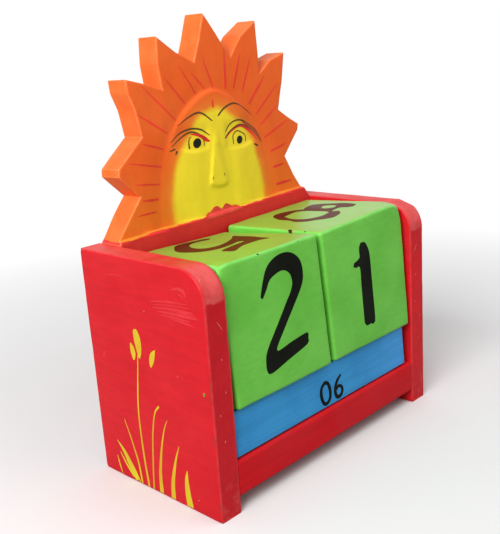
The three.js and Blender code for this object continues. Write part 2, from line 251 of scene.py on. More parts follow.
def sawn_board(name, corners, thickness, place, spacing, arris, waviness, carve=None, step=None):
    """A board with the given outline. place turns (across, up, depth) into a place in space."""
    outline = even_outline(corners, step or spacing / 2)
    count = len(outline)
    wall_spacing = max(spacing, PANEL_SPACING)
    front, front_faces = board_surface(outline, arris, spacing)
    back, back_faces = board_surface(outline, arris, wall_spacing)
    next_side = np.roll(outline, -1, axis=0) - outline
    last_side = outline - np.roll(outline, 1, axis=0)
    turn = np.abs(np.arctan2(np.cross(last_side, next_side), (last_side * next_side).sum(1)))
    depth_at = carve or (lambda across, up: 0.0)
    vertices, attributes = [], {"arris": [], "on_front": [], "rim": []}

    def add(point, depth, worn_and_lit, on_front, rim):
        vertices.append(place(point[0], point[1], depth))
        for values, value in zip(attributes.values(), (worn_and_lit, on_front, rim)):
            values.append(value)

    def add_side(points, on_front, depth_after):
        for point, distance in zip(points, np.abs(edge_distances(points, outline))):
            inset = min(max(arris - distance, 0), arris)
            drop = arris - math.sqrt(max(arris**2 - inset**2, 0))
            add(point, depth_after(point, drop), max(0.0, 1 - distance / arris), on_front, 0)

    add_side(front, 1, lambda point, drop: depth_at(*point) + drop)
    front_count = len(vertices)
    add_side(back, 0, lambda point, drop: thickness - drop)
    faces = [tuple(face) for face in front_faces]
    faces += [tuple(front_count + i for i in reversed(face)) for face in back_faces]
    rings = [list(range(count))]
    rows = max(1, round((thickness - 4 * arris) / wall_spacing))
    for row in range(rows + 1):
        rings.append(list(range(len(vertices), len(vertices) + count)))
        share = (arris + (thickness - 4 * arris) * row / rows) / (thickness - 2 * arris)
        for point, turned in zip(outline, turn):
            top = depth_at(*point) + arris
            worn_and_lit = SAWN_CORNER_WEAR_AND_GLINT if turned > SAWN_CORNER_TURN else 0
            add(point, top + (thickness - arris - top) * share, worn_and_lit, 0, 1)
    rings.append(list(range(front_count, front_count + count)))
    for upper, lower in zip(rings, rings[1:]):
        for index in range(count):
            following = (index + 1) % count
            faces.append((upper[index], lower[index], lower[following], upper[following]))
    return finish_mesh(name, vertices, faces, attributes, waviness)


def add_node(tree, kind, sockets=(), **settings):
    """A new node with its settings, and each socket in sockets set to a value or wired."""
    made = tree.nodes.new(kind)
    for key, value in settings.items():
        setattr(made, key, value)
    for key, value in dict(sockets).items():
        if isinstance(value, bpy.types.NodeSocket):
            tree.links.new(value, made.inputs[key])
        else:
            made.inputs[key].default_value = value
    return made


class Mixing:
    """The steps in which a material's colour is mixed, each one or two nodes."""

    def __init__(self, name):
        self.material = bpy.data.materials.new(name)
        self.material.use_nodes = True
        self.tree = self.material.node_tree
        self.shader = self.tree.nodes["Principled BSDF"]
        self.place = self.add("ShaderNodeTexCoord").outputs["Object"]

    def add(self, kind, sockets=(), **settings):
        return add_node(self.tree, kind, sockets, **settings)

    def stretched(self, scale):
        sockets = {"Vector": self.place, "Scale": scale}
        return self.add("ShaderNodeMapping", sockets).outputs["Vector"]

    def cloud(self, scale, detail=3, vector=None, roughness=0.55):
        sockets = {"Scale": scale, "Detail": detail, "Roughness": roughness}
        sockets["Vector"] = vector or self.place
        return self.add("ShaderNodeTexNoise", sockets).outputs["Fac"]

    def ramp(self, value, low, high, out_low=0.0, out_high=1.0):
        sockets = {"Value": value, "From Min": low, "From Max": high}
        sockets |= {"To Min": out_low, "To Max": out_high}
        made = self.add("ShaderNodeMapRange", sockets, interpolation_type="SMOOTHSTEP")
        return made.outputs["Result"]

    def math(self, operation, first, second):
        sockets = {0: first, 1: second}
        return self.add("ShaderNodeMath", sockets, operation=operation).outputs[0]

    def blend(self, share, first, second):
        sockets = {0: share}
        for index, color in ((6, first), (7, second)):
            wired = isinstance(color, bpy.types.NodeSocket)
            sockets[index] = color if wired else (*color, 1)
        return self.add("ShaderNodeMix", sockets, data_type="RGBA").outputs[2]

    def attribute(self, key):
        return self.add("ShaderNodeAttribute", attribute_name=key).outputs["Fac"]

    def along(self, axis):
        return self.add("ShaderNodeSeparateXYZ", {"Vector": self.place}).outputs[axis]


def painted_wood(
    name, color, light, worn_and_lit, streaks=(1, 1, 1), tint=None, gloss=0.22, roughness=(0.34, 0.5),
    brush=260, streak_value=0.92, relief=0.35, rubbed_and_lit=0.5, scuffed=1.0,
):
    """Brushed satin paint over wood, with lighter patches, and arrises paler from wear and from a
    painted highlight. streaks stretches the brush marks along an axis, and tint changes the
    colour from place to place."""
    mix = Mixing(name)
    mix.shader.inputs["Specular IOR Level"].default_value = gloss
    brushed = mix.cloud(brush, 4, mix.stretched(streaks))
    patchy = mix.cloud(PATCH_SCALE)
    fine = mix.cloud(GRAIN_SCALE, 2)
    paint = mix.blend(mix.ramp(patchy, 0.3, 0.7), color, light)
    if tint:
        paint = tint(paint, mix)
    darker = mix.add("ShaderNodeHueSaturation", {"Value": streak_value, "Color": paint})
    paint = mix.blend(mix.ramp(brushed, 0.65, 0.35), paint, darker.outputs["Color"])
    paint = mix.blend(mix.ramp(fine, 0.58, 0.8, 0.0, 0.12), paint, worn_and_lit)
    scuffs = mix.cloud(SCUFF_SCALE, 6, mix.stretched((1, 1, 6)), 0.8)
    scuffs = mix.ramp(scuffs, 0.66, 0.76, 0.0, 0.3)
    paint = mix.blend(mix.math("MULTIPLY", scuffs, scuffed), paint, worn_and_lit)
    # Arrises are blended towards the worn colour: partly rubbed paint, partly a painted highlight
    # where the edges catch the light.
    thinned_and_lit = mix.ramp(mix.attribute("arris"), 0.25, 0.9)
    patches = mix.ramp(mix.cloud(EDGE_WEAR_AND_SHEEN_SCALE, 5), 0.3, 0.62, 0.35, 1.0)
    thinned_and_lit = mix.math("MULTIPLY", thinned_and_lit, patches)
    paint = mix.blend(mix.math("MULTIPLY", thinned_and_lit, rubbed_and_lit), paint, worn_and_lit)
    mix.tree.links.new(paint, mix.shader.inputs["Base Color"])
    rough = mix.ramp(patchy, 0.25, 0.75, *roughness)
    mix.tree.links.new(rough, mix.shader.inputs["Roughness"])
    height = mix.math("MULTIPLY", brushed, 0.8)
    height = mix.math("ADD", height, mix.math("MULTIPLY", fine, 0.5))
    sockets = {"Height": height, "Strength": relief, "Distance": BRUSH_RELIEF}
    bump = mix.add("ShaderNodeBump", sockets)
    mix.tree.links.new(bump.outputs["Normal"], mix.shader.inputs["Normal"])
    return mix.material


def panel_tint(paint, mix):
    """Red, paler on the top and the rounded corner: rubbed by hands, and a painted highlight where
    they catch the light. Scuffed at the foot.
    """
    wobble = mix.math("MULTIPLY", mix.math("SUBTRACT", mix.cloud(300), 0.5), 2.5 * MM)
    height = mix.math("ADD", mix.along("Z"), wobble)
    high = mix.ramp(height, *RUBBED_AND_LIT_FROM)
    high = mix.math("MULTIPLY", high, mix.ramp(mix.along("Y"), *RUBBED_AND_LIT_BACK, 1.0, 0.0))
    high = mix.math("MULTIPLY", high, mix.ramp(mix.cloud(170, 4), 0.34, 0.6, 0.45, 1.0))
    scuffs = mix.ramp(mix.cloud(380, 5), 0.5, 0.66, 0.0, 0.4)
    foot = mix.math("MULTIPLY", mix.ramp(height, *SCUFFED_FOOT), scuffs)
    # The top and corner are mixed towards a paler red: rubbed paint and a painted highlight.
    rubbed_and_lit = mix.math("MULTIPLY", mix.math("MAXIMUM", high, foot), mix.attribute("rim"))
    tone = mix.blend(mix.ramp(mix.along("Y"), *CORNER_TO_TOP), RED_CORNER, RED_RUBBED_AND_LIT)
    return mix.blend(rubbed_and_lit, paint, tone)


panels = {}
for label, side in PANEL_SIDES.items():
    panel_low, panel_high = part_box(f"{label}_side_panel")
    outer = panel_low.x if side < 0 else panel_high.x
    radius = PANEL_CORNER_RADIUS
    middle = (panel_low.y + radius, panel_high.z - radius)
    corner = arc(middle, radius, 1, 2, PANEL_CORNER_STEPS)
    panel_corners = [(panel_high.y, panel_low.z), (panel_high.y, panel_high.z), corner[0]]
    panel_corners += corner[FLAT_UNTIL_STEP[label] :] + [(panel_low.y, panel_low.z)]
    panel = sawn_board(
        f"{label}_panel_board",
        panel_corners,
        panel_high.x - panel_low.x,
        lambda across, up, depth, outer=outer, side=side: (outer - side * depth, across, up),
        PANEL_SPACING,
        PANEL_ARRIS,
        PANEL_WAVINESS,
    )
    red_paint = painted_wood(
        f"red_paint_{label}_panel", RED_BY_SIDE[label], RED_LIGHT, RED_WORN_AND_LIT, (1, 0.12, 1),
        tint=panel_tint, gloss=0.14, brush=520, relief=0.6, rubbed_and_lit=0.35,
    )
    panel.data.materials.append(red_paint)
    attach(panel, "frame")
    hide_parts(f"{label}_side_panel")
    panels[label] = panel


# The grass and buds on the outer faces are single strokes of a pointed brush in yellow paint,
# thick at the root and drawn out to a point. Paint lies on the board in a very thin layer.
PAINT_LAYER = 0.04 * MM
PAINT_SINK = 0.03 * MM
LAYING_HEIGHT = 6 * MM
LAYER_SMOOTH_UNDER = math.radians(50)
STROKE_END_STEPS = 6
YELLOW_INK = (0.72, 0.62, 0.018)
YELLOW_INK_THIN = (0.62, 0.36, 0.012)
GRASS_BRUSH = 0.86
GRASS_STEP = 0.5 * MM
GRASS_SPACING = 1.2 * MM
# Depth behind the panel's front, height and half the stroke's width, in millimetres.
GRASS_STROKES = [
    [(30.2, 0.8, 0.5), (31, 8, 0.42), (31.3, 14.7, 0.38), (31.2, 26.3, 0.3), (29, 41.5, 0.16)],
    [(42.6, 0.6, 0.12), (43.6, 3.4, 0.3), (44.3, 6.1, 0.1)],
    [(35.2, 0.6, 1.15), (37.6, 4.2, 1.3), (40.6, 8.6, 0.8), (43.4, 11.3, 0.14)],
    [(37.2, 1.4, 0.35), (40, 4.4, 0.4), (42.6, 7.8, 0.12)],
    [(33.3, 0.8, 0.4), (34.2, 7, 0.38), (36.4, 14, 0.24), (38.6, 19.6, 0.08)],
    [(28, 0.6, 0.32), (27.2, 9, 0.34), (25.8, 18.8, 0.3), (24, 25.4, 0.26), (22.1, 27.9, 0.34)],
    [(24.5, 0.6, 0.95), (24.2, 7, 0.7), (22.6, 15, 0.42), (20.6, 21.4, 0.24),
     (18.9, 24.7, 0.08)],
    [(19.4, 0.6, 1.05), (18.9, 6, 0.85), (17.1, 12.6, 0.45), (15, 18, 0.14)],
    [(12.4, 0.6, 1.5), (12.9, 4.6, 1.25), (12.9, 8.6, 0.8), (12.4, 11.4, 0.2)],
    [(28.3, 41.2, 0.5), (28.2, 43.4, 1.3), (28.5, 46.4, 1.65), (28.9, 48.2, 1.3)],
    [(30.9, 40.2, 0.5), (30.9, 41.8, 1.15), (31.3, 43.6, 0.95), (31.6, 44.4, 0.4)],
    [(23.6, 39.6, 0.45), (23.2, 41, 1.05), (22.4, 43, 1.05), (21.3, 44.6, 0.2)],
]


def stroke_faces(stroke, step):
    """A brush stroke as a ribbon of small four-sided faces with round ends."""
    path = np.array(smooth_path(stroke, step))
    along = np.gradient(path[:, :2], axis=0)
    along /= np.linalg.norm(along, axis=1)[:, None]
    across = np.stack([-along[:, 1], along[:, 0]], 1) * np.maximum(path[:, 2:3], step / 8)
    left, right = path[:, :2] + across, path[:, :2] - across
    faces = [[left[i], left[i + 1], right[i + 1], right[i]] for i in range(len(path) - 1)]
    steps = range(STROKE_END_STEPS + 1)
    turn = [math.pi / 2 * (1 - 2 * step / STROKE_END_STEPS) for step in steps]
    for end, direction in ((0, -1), (-1, 1)):
        reach = along[end] * direction * np.linalg.norm(across[end])
        tip = [across[end] * math.sin(a) + reach * math.cos(a) for a in turn]
        faces.append([path[end, :2] + point for point in tip])
    return faces


def brushed(strokes, step, brush=1.0, side=1):
    """Faces of strokes written in millimetres. brush scales their width and side mirrors them."""
    faces = []
    for stroke in strokes:
        faces += stroke_faces([(a * MM, b * MM, half * brush * MM) for a, b, half in stroke], step)
    return [[(side * point[0], point[1]) for point in face] for face in faces]


def laid_paint_tree():
    """Lays flat marks on a surface: each point drops onto it, then the layer is thickened."""
    tree = bpy.data.node_groups.new("laid_paint", "GeometryNodeTree")
    inputs = {
        "Marks": "Geometry", "Surface": "Object", "Towards": "Vector", "Reach": "Float",
        "Layer": "Float", "Sink": "Float", "Paint": "Material",
    }
    for label, kind in inputs.items():
        tree.interface.new_socket(name=label, in_out="INPUT", socket_type=f"NodeSocket{kind}")
    tree.interface.new_socket(name="Marks", in_out="OUTPUT", socket_type="NodeSocketGeometry")

    def add(kind, sockets, output, **settings):
        return add_node(tree, kind, sockets, **settings).outputs[output]

    given = add_node(tree, "NodeGroupInput").outputs
    surface = add("GeometryNodeObjectInfo", {"Object": given["Surface"]}, "Geometry")
    ray = {"Target Geometry": surface, "Ray Direction": given["Towards"]}
    hit = add("GeometryNodeRaycast", ray | {"Ray Length": given["Reach"]}, "Hit Position")
    sink = {"Vector": given["Towards"], "Scale": given["Sink"]}
    sink = add("ShaderNodeVectorMath", sink, "Vector", operation="SCALE")
    sunk = add("ShaderNodeVectorMath", {0: hit, 1: sink}, "Vector", operation="ADD")
    placed = {"Geometry": given["Marks"], "Position": sunk}
    placed = add("GeometryNodeSetPosition", placed, "Geometry")
    total = {0: given["Layer"], 1: given["Sink"]}
    total = add("ShaderNodeMath", total, "Value", operation="ADD")
    lifted = {"Mesh": placed, "Offset Scale": total, "Individual": False}
    lifted = add("GeometryNodeExtrudeMesh", lifted, "Mesh", mode="FACES")
    under = add("GeometryNodeFlipFaces", {"Mesh": placed}, "Mesh")
    join = add_node(tree, "GeometryNodeJoinGeometry")
    for part in (lifted, under):
        tree.links.new(part, join.inputs["Geometry"])
    welded = {"Geometry": join.outputs["Geometry"], "Distance": WELD_DISTANCE}
    welded = add("GeometryNodeMergeByDistance", welded, "Geometry")
    realized = add("GeometryNodeRealizeInstances", {"Geometry": welded}, "Geometry")
    colored = {"Geometry": realized, "Material": given["Paint"]}
    colored = add("GeometryNodeSetMaterial", colored, "Geometry")
    add_node(tree, "NodeGroupOutput", {"Marks": colored})
    return tree


laid_paint = laid_paint_tree()


def lay_marks(name, faces, spacing, wall, surface, paint, body, layer=PAINT_LAYER):
    """Paint marks on a surface, riding on a body. wall is a corner, and the directions across
    and up in which the faces are given in metres from that corner."""
    corner, across, up = (Vector(part) for part in wall)
    outward = across.cross(up).normalized()
    flat, loops = [], []
    for face in faces:
        ring = np.array(face)
        turning = np.cross(ring, np.roll(ring, -1, axis=0)).sum()
        face = face if turning > 0 else face[::-1]
        loops.append(list(range(len(flat), len(flat) + len(face))))
        flat += [tuple(point) for point in face]

    def cut(points):
        found = delaunay_2d_cdt([Vector(p) for p in points], [], loops, 1, CUT_ACCURACY)
        return found[0], [face for face, sources in zip(found[2], found[5]) if sources]

    corners, painted = cut(flat)
    corners = np.array([tuple(v) for v in corners])
    grid = grid_points(np.min(flat, 0), np.max(flat, 0), spacing)
    inside = np.zeros(len(grid), bool)
    for triangle in painted:
        a, b, c = corners[list(triangle)]
        turns = [np.cross(end - start, grid - start) for start, end in ((a, b), (b, c), (c, a))]
        inside |= (np.min(turns, 0) > 0) | (np.max(turns, 0) < 0)
    points, painted = cut(flat + [tuple(point) for point in grid[inside]])
    mesh = bpy.data.meshes.new(name)
    start = corner + outward * LAYING_HEIGHT
    mesh.from_pydata([start + across * v.x + up * v.y for v in points], [], painted)
    marks = bpy.data.objects.new(name + "_flat", mesh)
    scene.collection.objects.link(marks)
    modifier = marks.modifiers.new("laid", "NODES")
    modifier.node_group = laid_paint
    values = {
        "Surface": surface, "Towards": -outward, "Reach": 4 * LAYING_HEIGHT, "Layer": layer,
        "Sink": PAINT_SINK, "Paint": paint,
    }
    for item in laid_paint.interface.items_tree:
        if item.in_out == "INPUT" and item.name in values:
            modifier[item.identifier] = values[item.name]
    shaped = marks.evaluated_get(bpy.context.evaluated_depsgraph_get())
    laid = bpy.data.meshes.new_from_object(shaped)
    bpy.data.objects.remove(marks)
    piece = smooth_piece(name, laid, LAYER_SMOOTH_UNDER)
    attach(piece, body)


def mark_paint(name, color, thin, worn_and_lit=None, streaks=(1, 1, 1), gloss=0.22):
    """The paint of a mark, which is too thin to be rubbed or scuffed itself."""
    worn_and_lit = worn_and_lit or thin
    return painted_wood(name, color, thin, worn_and_lit, streaks, gloss=gloss, rubbed_and_lit=0.0, scuffed=0.0)


yellow_ink = mark_paint(
    "yellow_brush_paint", YELLOW_INK, YELLOW_INK_THIN, YELLOW_INK, (1, 2.5, 0.25), gloss=0.3
)
outer_walls, front_walls = {}, {}
for label, side in PANEL_SIDES.items():
    foot = (cad_low.x if side < 0 else cad_high.x, cad_low.y, 0)
    outer_walls[label] = (foot, (0, side, 0), (0, 0, 1))
    front_walls[label] = (foot, (1, 0, 0), (0, 0, 1))
    lay_marks(
        f"{label}_panel_grass", brushed(GRASS_STROKES, GRASS_STEP, GRASS_BRUSH, side),
        GRASS_SPACING, outer_walls[label], panels[label], yellow_ink, "frame",
    )


# Years of handling left pale scratches and small chips in the red paint, most of them by the
# front edge. They are rubbed lines and specks as thin as the paint itself.
SCRATCH_PINK = (0.70, 0.04, 0.05)
SCRATCH_BRUSH = 1.8
CHIP_PALE = (0.68, 0.24, 0.20)
RUB_BROWN = (0.26, 0.035, 0.022)
GREEN_FLECK = (0.16, 0.50, 0.06)
SMUDGE_OLIVE = (0.40, 0.12, 0.022)
WEAR_STEP = 0.4 * MM
EDGE_CHIP_STEP = 0.3 * MM
WEAR_SPACING = 1 * MM
# Depth behind the panel's front, height and half the stroke's width, in millimetres.
SCRATCH_STROKES = [
    [(11.8, 63.3, 0.1), (9.3, 63.9, 0.22), (7.1, 63.4, 0.28), (6.8, 62.1, 0.1)],
    [(21, 58.7, 0.06), (13.8, 59.7, 0.16), (6.1, 60.2, 0.05)],
    [(20.2, 57.1, 0.05), (12.1, 58, 0.2), (4.5, 58.2, 0.1)],
    [(18.3, 56.4, 0.05), (10.3, 56.8, 0.26), (2.8, 56.9, 0.08)],
    [(16.9, 55.6, 0.05), (11.4, 55.8, 0.14), (5.7, 55.7, 0.05)],
    [(19.6, 58, 0.04), (12.6, 58.9, 0.1), (5.6, 59.3, 0.05)],
    [(17.6, 57.5, 0.04), (9.6, 57.7, 0.14), (3.4, 57.5, 0.05)],
    [(13.2, 55.2, 0.04), (8.4, 55.1, 0.12), (4.2, 54.6, 0.04)],
    [(9.4, 62.4, 0.05), (8.2, 62.2, 0.14), (7.4, 61.6, 0.05)],
    [(45.5, 37.5, 0.06), (44.9, 38.6, 0.2), (44.4, 39.4, 0.05)],
    [(40, 63.2, 0.05), (36, 63.8, 0.1), (31, 64, 0.04)],
]
CHIP_STROKES = [
    [(2.9, 36.2, 0.12), (2.8, 36.8, 0.2)],
    [(12.7, 39.1, 0.12), (12.6, 39.4, 0.1)],
    [(8.7, 3.9, 0.14), (8.5, 4.1, 0.12)],
    [(24.1, 55.2, 0.12), (24, 55.4, 0.1)],
]
BROWN_RUB_STROKES = [
    [(0.35, 42.3, 0.06), (0.3, 39.5, 0.2), (0.4, 37.2, 0.12), (0.35, 34.6, 0.16),
     (0.45, 32.8, 0.05)],
    [(0.4, 7.6, 0.06), (0.35, 5.2, 0.2), (0.5, 3.4, 0.12)],
    [(2.4, 35.7, 0.1), (2.9, 35.5, 0.18), (3.4, 35.8, 0.08)],
    [(0.3, 25.2, 0.08), (0.35, 23.6, 0.12), (0.3, 22.6, 0.05)],
]
GREEN_FLECK_STROKES = [[(2.85, 36.3, 0.26), (2.75, 36.8, 0.3)]]
# Across from the left panel's outer face and behind its front, on its top.
SMUDGE_STROKES = [
    [(2.2, 21.5, 0.1), (2.9, 19, 0.3), (3.4, 16.6, 0.24), (3.2, 15.2, 0.08)],
    [(4.6, 14.2, 0.1), (4.9, 12.4, 0.5), (4.5, 10.4, 0.2), (4.9, 9.6, 0.06)],
    [(6.2, 12.6, 0.08), (6.3, 10.8, 0.34), (5.9, 9.4, 0.1)],
    [(3.1, 12.9, 0.06), (3.3, 11.7, 0.26), (3.1, 10.6, 0.06)],
    [(1.2, 13.6, 0.06), (1.6, 12.6, 0.16), (1.5, 11.5, 0.05)],
]
# Across from the panel's outer face and height, on the panels' narrow front edges.
EDGE_CHIP_STROKES = [
    [(4.6, 45.2, 0.14), (4.5, 45.5, 0.1)],
    [(5, 36, 0.12), (5.2, 36.3, 0.1)],
    [(3.4, 22.5, 0.1), (3.6, 22.9, 0.14)],
    [(5.4, 53.2, 0.04), (4.6, 54.6, 0.08), (3.9, 55.6, 0.04)],
    [(1.2, 66.4, 0.05), (1.5, 66.9, 0.12), (1.9, 66.8, 0.05)],
    [(2.6, 30.3, 0.1), (2.5, 30.7, 0.1)],
]
scratch_paint = mark_paint("rubbed_red_paint", SCRATCH_PINK, RED_LIGHT)
chip_paint = mark_paint("chipped_paint", CHIP_PALE, RED_WORN_AND_LIT)
brown_paint = mark_paint("rubbed_brown_paint", RUB_BROWN, RED)
smudge_paint = mark_paint("olive_smudge_paint", SMUDGE_OLIVE, RED_RUBBED_AND_LIT)
fleck_paint = mark_paint("green_fleck_paint", GREEN_FLECK, GREEN_FLECK)
panel_wear = [
    ("scratches", SCRATCH_STROKES, scratch_paint, SCRATCH_BRUSH),
    ("chips", CHIP_STROKES, chip_paint, 1.0),
    ("rubs", BROWN_RUB_STROKES, brown_paint, 1.0),
]
left_panel_wear = [("fleck", GREEN_FLECK_STROKES, fleck_paint, 1.0)]
PANEL_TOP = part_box("left_side_panel")[1].z
left_top = ((cad_low.x, cad_low.y, PANEL_TOP), (1, 0, 0), (0, 1, 0))
for label, side in PANEL_SIDES.items():
    panel, slot = panels[label], f"{label}_panel_paint"
    own_wear = left_panel_wear if label == "left" else []
    for wear_name, strokes, paint, brush in panel_wear + own_wear:
        lay_marks(
            f"{label}_panel_{wear_name}", brushed(strokes, WEAR_STEP, brush, side),
            WEAR_SPACING, outer_walls[label], panel, paint, "frame",
        )
    if label == "left":
        lay_marks(
            "left_panel_smudges", brushed(SMUDGE_STROKES, WEAR_STEP), WEAR_SPACING, left_top,
            panel, smudge_paint, "frame",
        )
    lay_marks(
        f"{label}_panel_edge_chips", brushed(EDGE_CHIP_STROKES, EDGE_CHIP_STEP, side=-side),
        WEAR_SPACING, front_walls[label], panel, chip_paint, "frame",
    )


# The base board lies between the panels. Its front edge is the rail below the month bar, and
# its top leans towards the back, so that bars and cubes rest against the sun board.
BASE_ARRIS = 0.1 * MM
RAIL_ROUNDING = 1.2 * MM
RAIL_TOP_DROP = 1.06 * RAIL_ROUNDING
RAIL_STEPS, RAIL_UNDER_STEPS = 6, 4
BASE_STEP = 0.5 * MM
RED_RAIL = (0.65, 0.006, 0.012)
SEAT_LEAN = math.radians(3.6)

base_low, base_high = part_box("base_board")
seat_fall = (base_high.y - base_low.y) * math.tan(SEAT_LEAN)
rail_foot = base_low.z + seat_fall
rail_top = (base_low.y + RAIL_ROUNDING, base_high.z - RAIL_TOP_DROP)
rail_under = (base_low.y + RAIL_ROUNDING / 2, rail_foot + RAIL_ROUNDING / 2)
base_corners = [(base_high.y, base_low.z), (base_high.y, base_high.z - seat_fall)]
base_corners += arc(rail_top, RAIL_ROUNDING, 1, 2, RAIL_STEPS)
base_corners += arc(rail_under, RAIL_ROUNDING / 2, 2, 3, RAIL_UNDER_STEPS)
base = sawn_board(
    "base_rail_board",
    base_corners,
    base_high.x - base_low.x,
    lambda across, up, depth: (base_low.x + depth, across, up),
    PANEL_SPACING,
    BASE_ARRIS,
    PANEL_WAVINESS,
    step=BASE_STEP,
)
red_base = painted_wood(
    "red_paint_base", RED_RAIL, RED_LIGHT, RED_WORN_AND_LIT, (0.1, 1, 1),
    gloss=0.07, brush=520, relief=0.6, rubbed_and_lit=0.0,
)
base.data.materials.append(red_base)
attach(base, "frame")
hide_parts("base_board")


# The month bars are square sticks with blunt edges, one month number on each long face. They
# lie side by side on the base board.
BAR_ARRIS = 0.5 * MM
BAR_WAVINESS = 0.06 * MM
BAR_SPACING = 2.5 * MM
BLUE = (0.024, 0.265, 0.60)
BLUE_LIGHT = (0.04, 0.32, 0.68)
BLUE_WORN = (0.16, 0.48, 0.78)
BLUE_PALE = (0.065, 0.36, 0.82)
PALE_END = (12 * MM, 42 * MM)
BLACK_INK = (0.005, 0.006, 0.004)
BLACK_INK_THIN = (0.010, 0.012, 0.007)
MONTH_HEIGHT = 7.4 * MM
MONTH_MIDDLE = 41.6 * MM
MONTH_FOOT = 0.9 * MM
MONTH_BRUSH = 1.45
NUMERAL_PITCH = 0.84
NUMERAL_SPACING = 1.5 * MM
NUMERAL_STEP = 0.3 * MM
MONTH_NUMBERS = {
    "front": ("06", "12", "09", "03"),
    "middle": ("07", "01", "10", "04"),
    "rear": ("08", "02", "11", "05"),
}
# Numerals as brush strokes: shares of the height, across and up, and half the stroke's width.
DIGIT_STROKE_SHARES = {
    0: [[(0.5, 0.95, 0.05), (0.27, 0.78, 0.055), (0.22, 0.45, 0.06), (0.34, 0.12, 0.055),
         (0.52, 0.05, 0.05), (0.74, 0.2, 0.055), (0.79, 0.55, 0.06), (0.68, 0.86, 0.055),
         (0.48, 0.95, 0.05)]],
    1: [[(0.36, 0.72, 0.03), (0.5, 0.92, 0.06)],
        [(0.5, 0.94, 0.06), (0.5, 0.5, 0.065), (0.51, 0.06, 0.055)]],
    2: [[(0.26, 0.72, 0.035), (0.4, 0.9, 0.055), (0.6, 0.92, 0.06), (0.7, 0.74, 0.065),
         (0.55, 0.45, 0.055), (0.32, 0.16, 0.05)],
        [(0.3, 0.12, 0.06), (0.52, 0.1, 0.055), (0.78, 0.14, 0.04)]],
    3: [[(0.28, 0.82, 0.035), (0.48, 0.94, 0.05), (0.68, 0.82, 0.06), (0.62, 0.62, 0.05),
         (0.46, 0.53, 0.04)],
        [(0.46, 0.53, 0.04), (0.68, 0.46, 0.05), (0.74, 0.26, 0.065), (0.54, 0.07, 0.055),
         (0.26, 0.14, 0.035)]],
    4: [[(0.56, 0.94, 0.05), (0.4, 0.62, 0.05), (0.24, 0.34, 0.05)],
        [(0.24, 0.34, 0.05), (0.5, 0.33, 0.05), (0.8, 0.36, 0.04)],
        [(0.6, 0.66, 0.05), (0.61, 0.34, 0.06), (0.6, 0.04, 0.055)]],
    5: [[(0.74, 0.92, 0.04), (0.5, 0.9, 0.055), (0.33, 0.88, 0.055)],
        [(0.33, 0.88, 0.05), (0.3, 0.7, 0.045), (0.29, 0.54, 0.04)],
        [(0.29, 0.54, 0.04), (0.52, 0.58, 0.055), (0.73, 0.44, 0.06), (0.7, 0.18, 0.06),
         (0.48, 0.06, 0.055), (0.25, 0.12, 0.035)]],
    6: [[(0.68, 0.93, 0.035), (0.44, 0.76, 0.055), (0.28, 0.45, 0.06), (0.32, 0.15, 0.06),
         (0.52, 0.06, 0.055), (0.72, 0.2, 0.055), (0.7, 0.42, 0.05), (0.5, 0.52, 0.045),
         (0.32, 0.38, 0.035)]],
    7: [[(0.26, 0.86, 0.05), (0.5, 0.88, 0.055), (0.76, 0.88, 0.055)],
        [(0.76, 0.88, 0.05), (0.56, 0.5, 0.06), (0.46, 0.06, 0.06)]],
    8: [[(0.74, 0.9, 0.06), (0.6, 0.97, 0.03), (0.4, 0.93, 0.025), (0.32, 0.76, 0.03),
         (0.46, 0.6, 0.045), (0.68, 0.44, 0.055), (0.74, 0.22, 0.05), (0.56, 0.05, 0.055),
         (0.34, 0.06, 0.04), (0.24, 0.26, 0.035), (0.36, 0.5, 0.03), (0.58, 0.66, 0.03),
         (0.7, 0.86, 0.04)]],
    9: [[(0.7, 0.72, 0.04), (0.5, 0.93, 0.05), (0.3, 0.76, 0.05), (0.36, 0.54, 0.045),
         (0.58, 0.52, 0.04), (0.7, 0.7, 0.04)],
        [(0.7, 0.78, 0.05), (0.68, 0.4, 0.06), (0.58, 0.05, 0.055)]],
}
RIGHT = Vector((1, 0, 0))
SEAT_BACK = Vector((0, math.cos(SEAT_LEAN), -math.sin(SEAT_LEAN)))
SEAT_UP = Vector((0, math.sin(SEAT_LEAN), math.cos(SEAT_LEAN)))


def on_seat(box, arris):
    """Front lower corner, depth and height of a block that leans on the seat inside a box."""
    low, high = box
    reach, rise = high.y - low.y - 2 * arris, high.z - low.z - 2 * arris
    lean_cos, lean_sin = math.cos(SEAT_LEAN), math.sin(SEAT_LEAN)
    spread = lean_cos**2 - lean_sin**2
    depth = (reach * lean_cos - rise * lean_sin) / spread
    height = (rise * lean_cos - reach * lean_sin) / spread
    corner = Vector((low.x, low.y + arris, low.z + arris + depth * lean_sin))
    return corner - (SEAT_BACK + SEAT_UP) * arris, depth + 2 * arris, height + 2 * arris


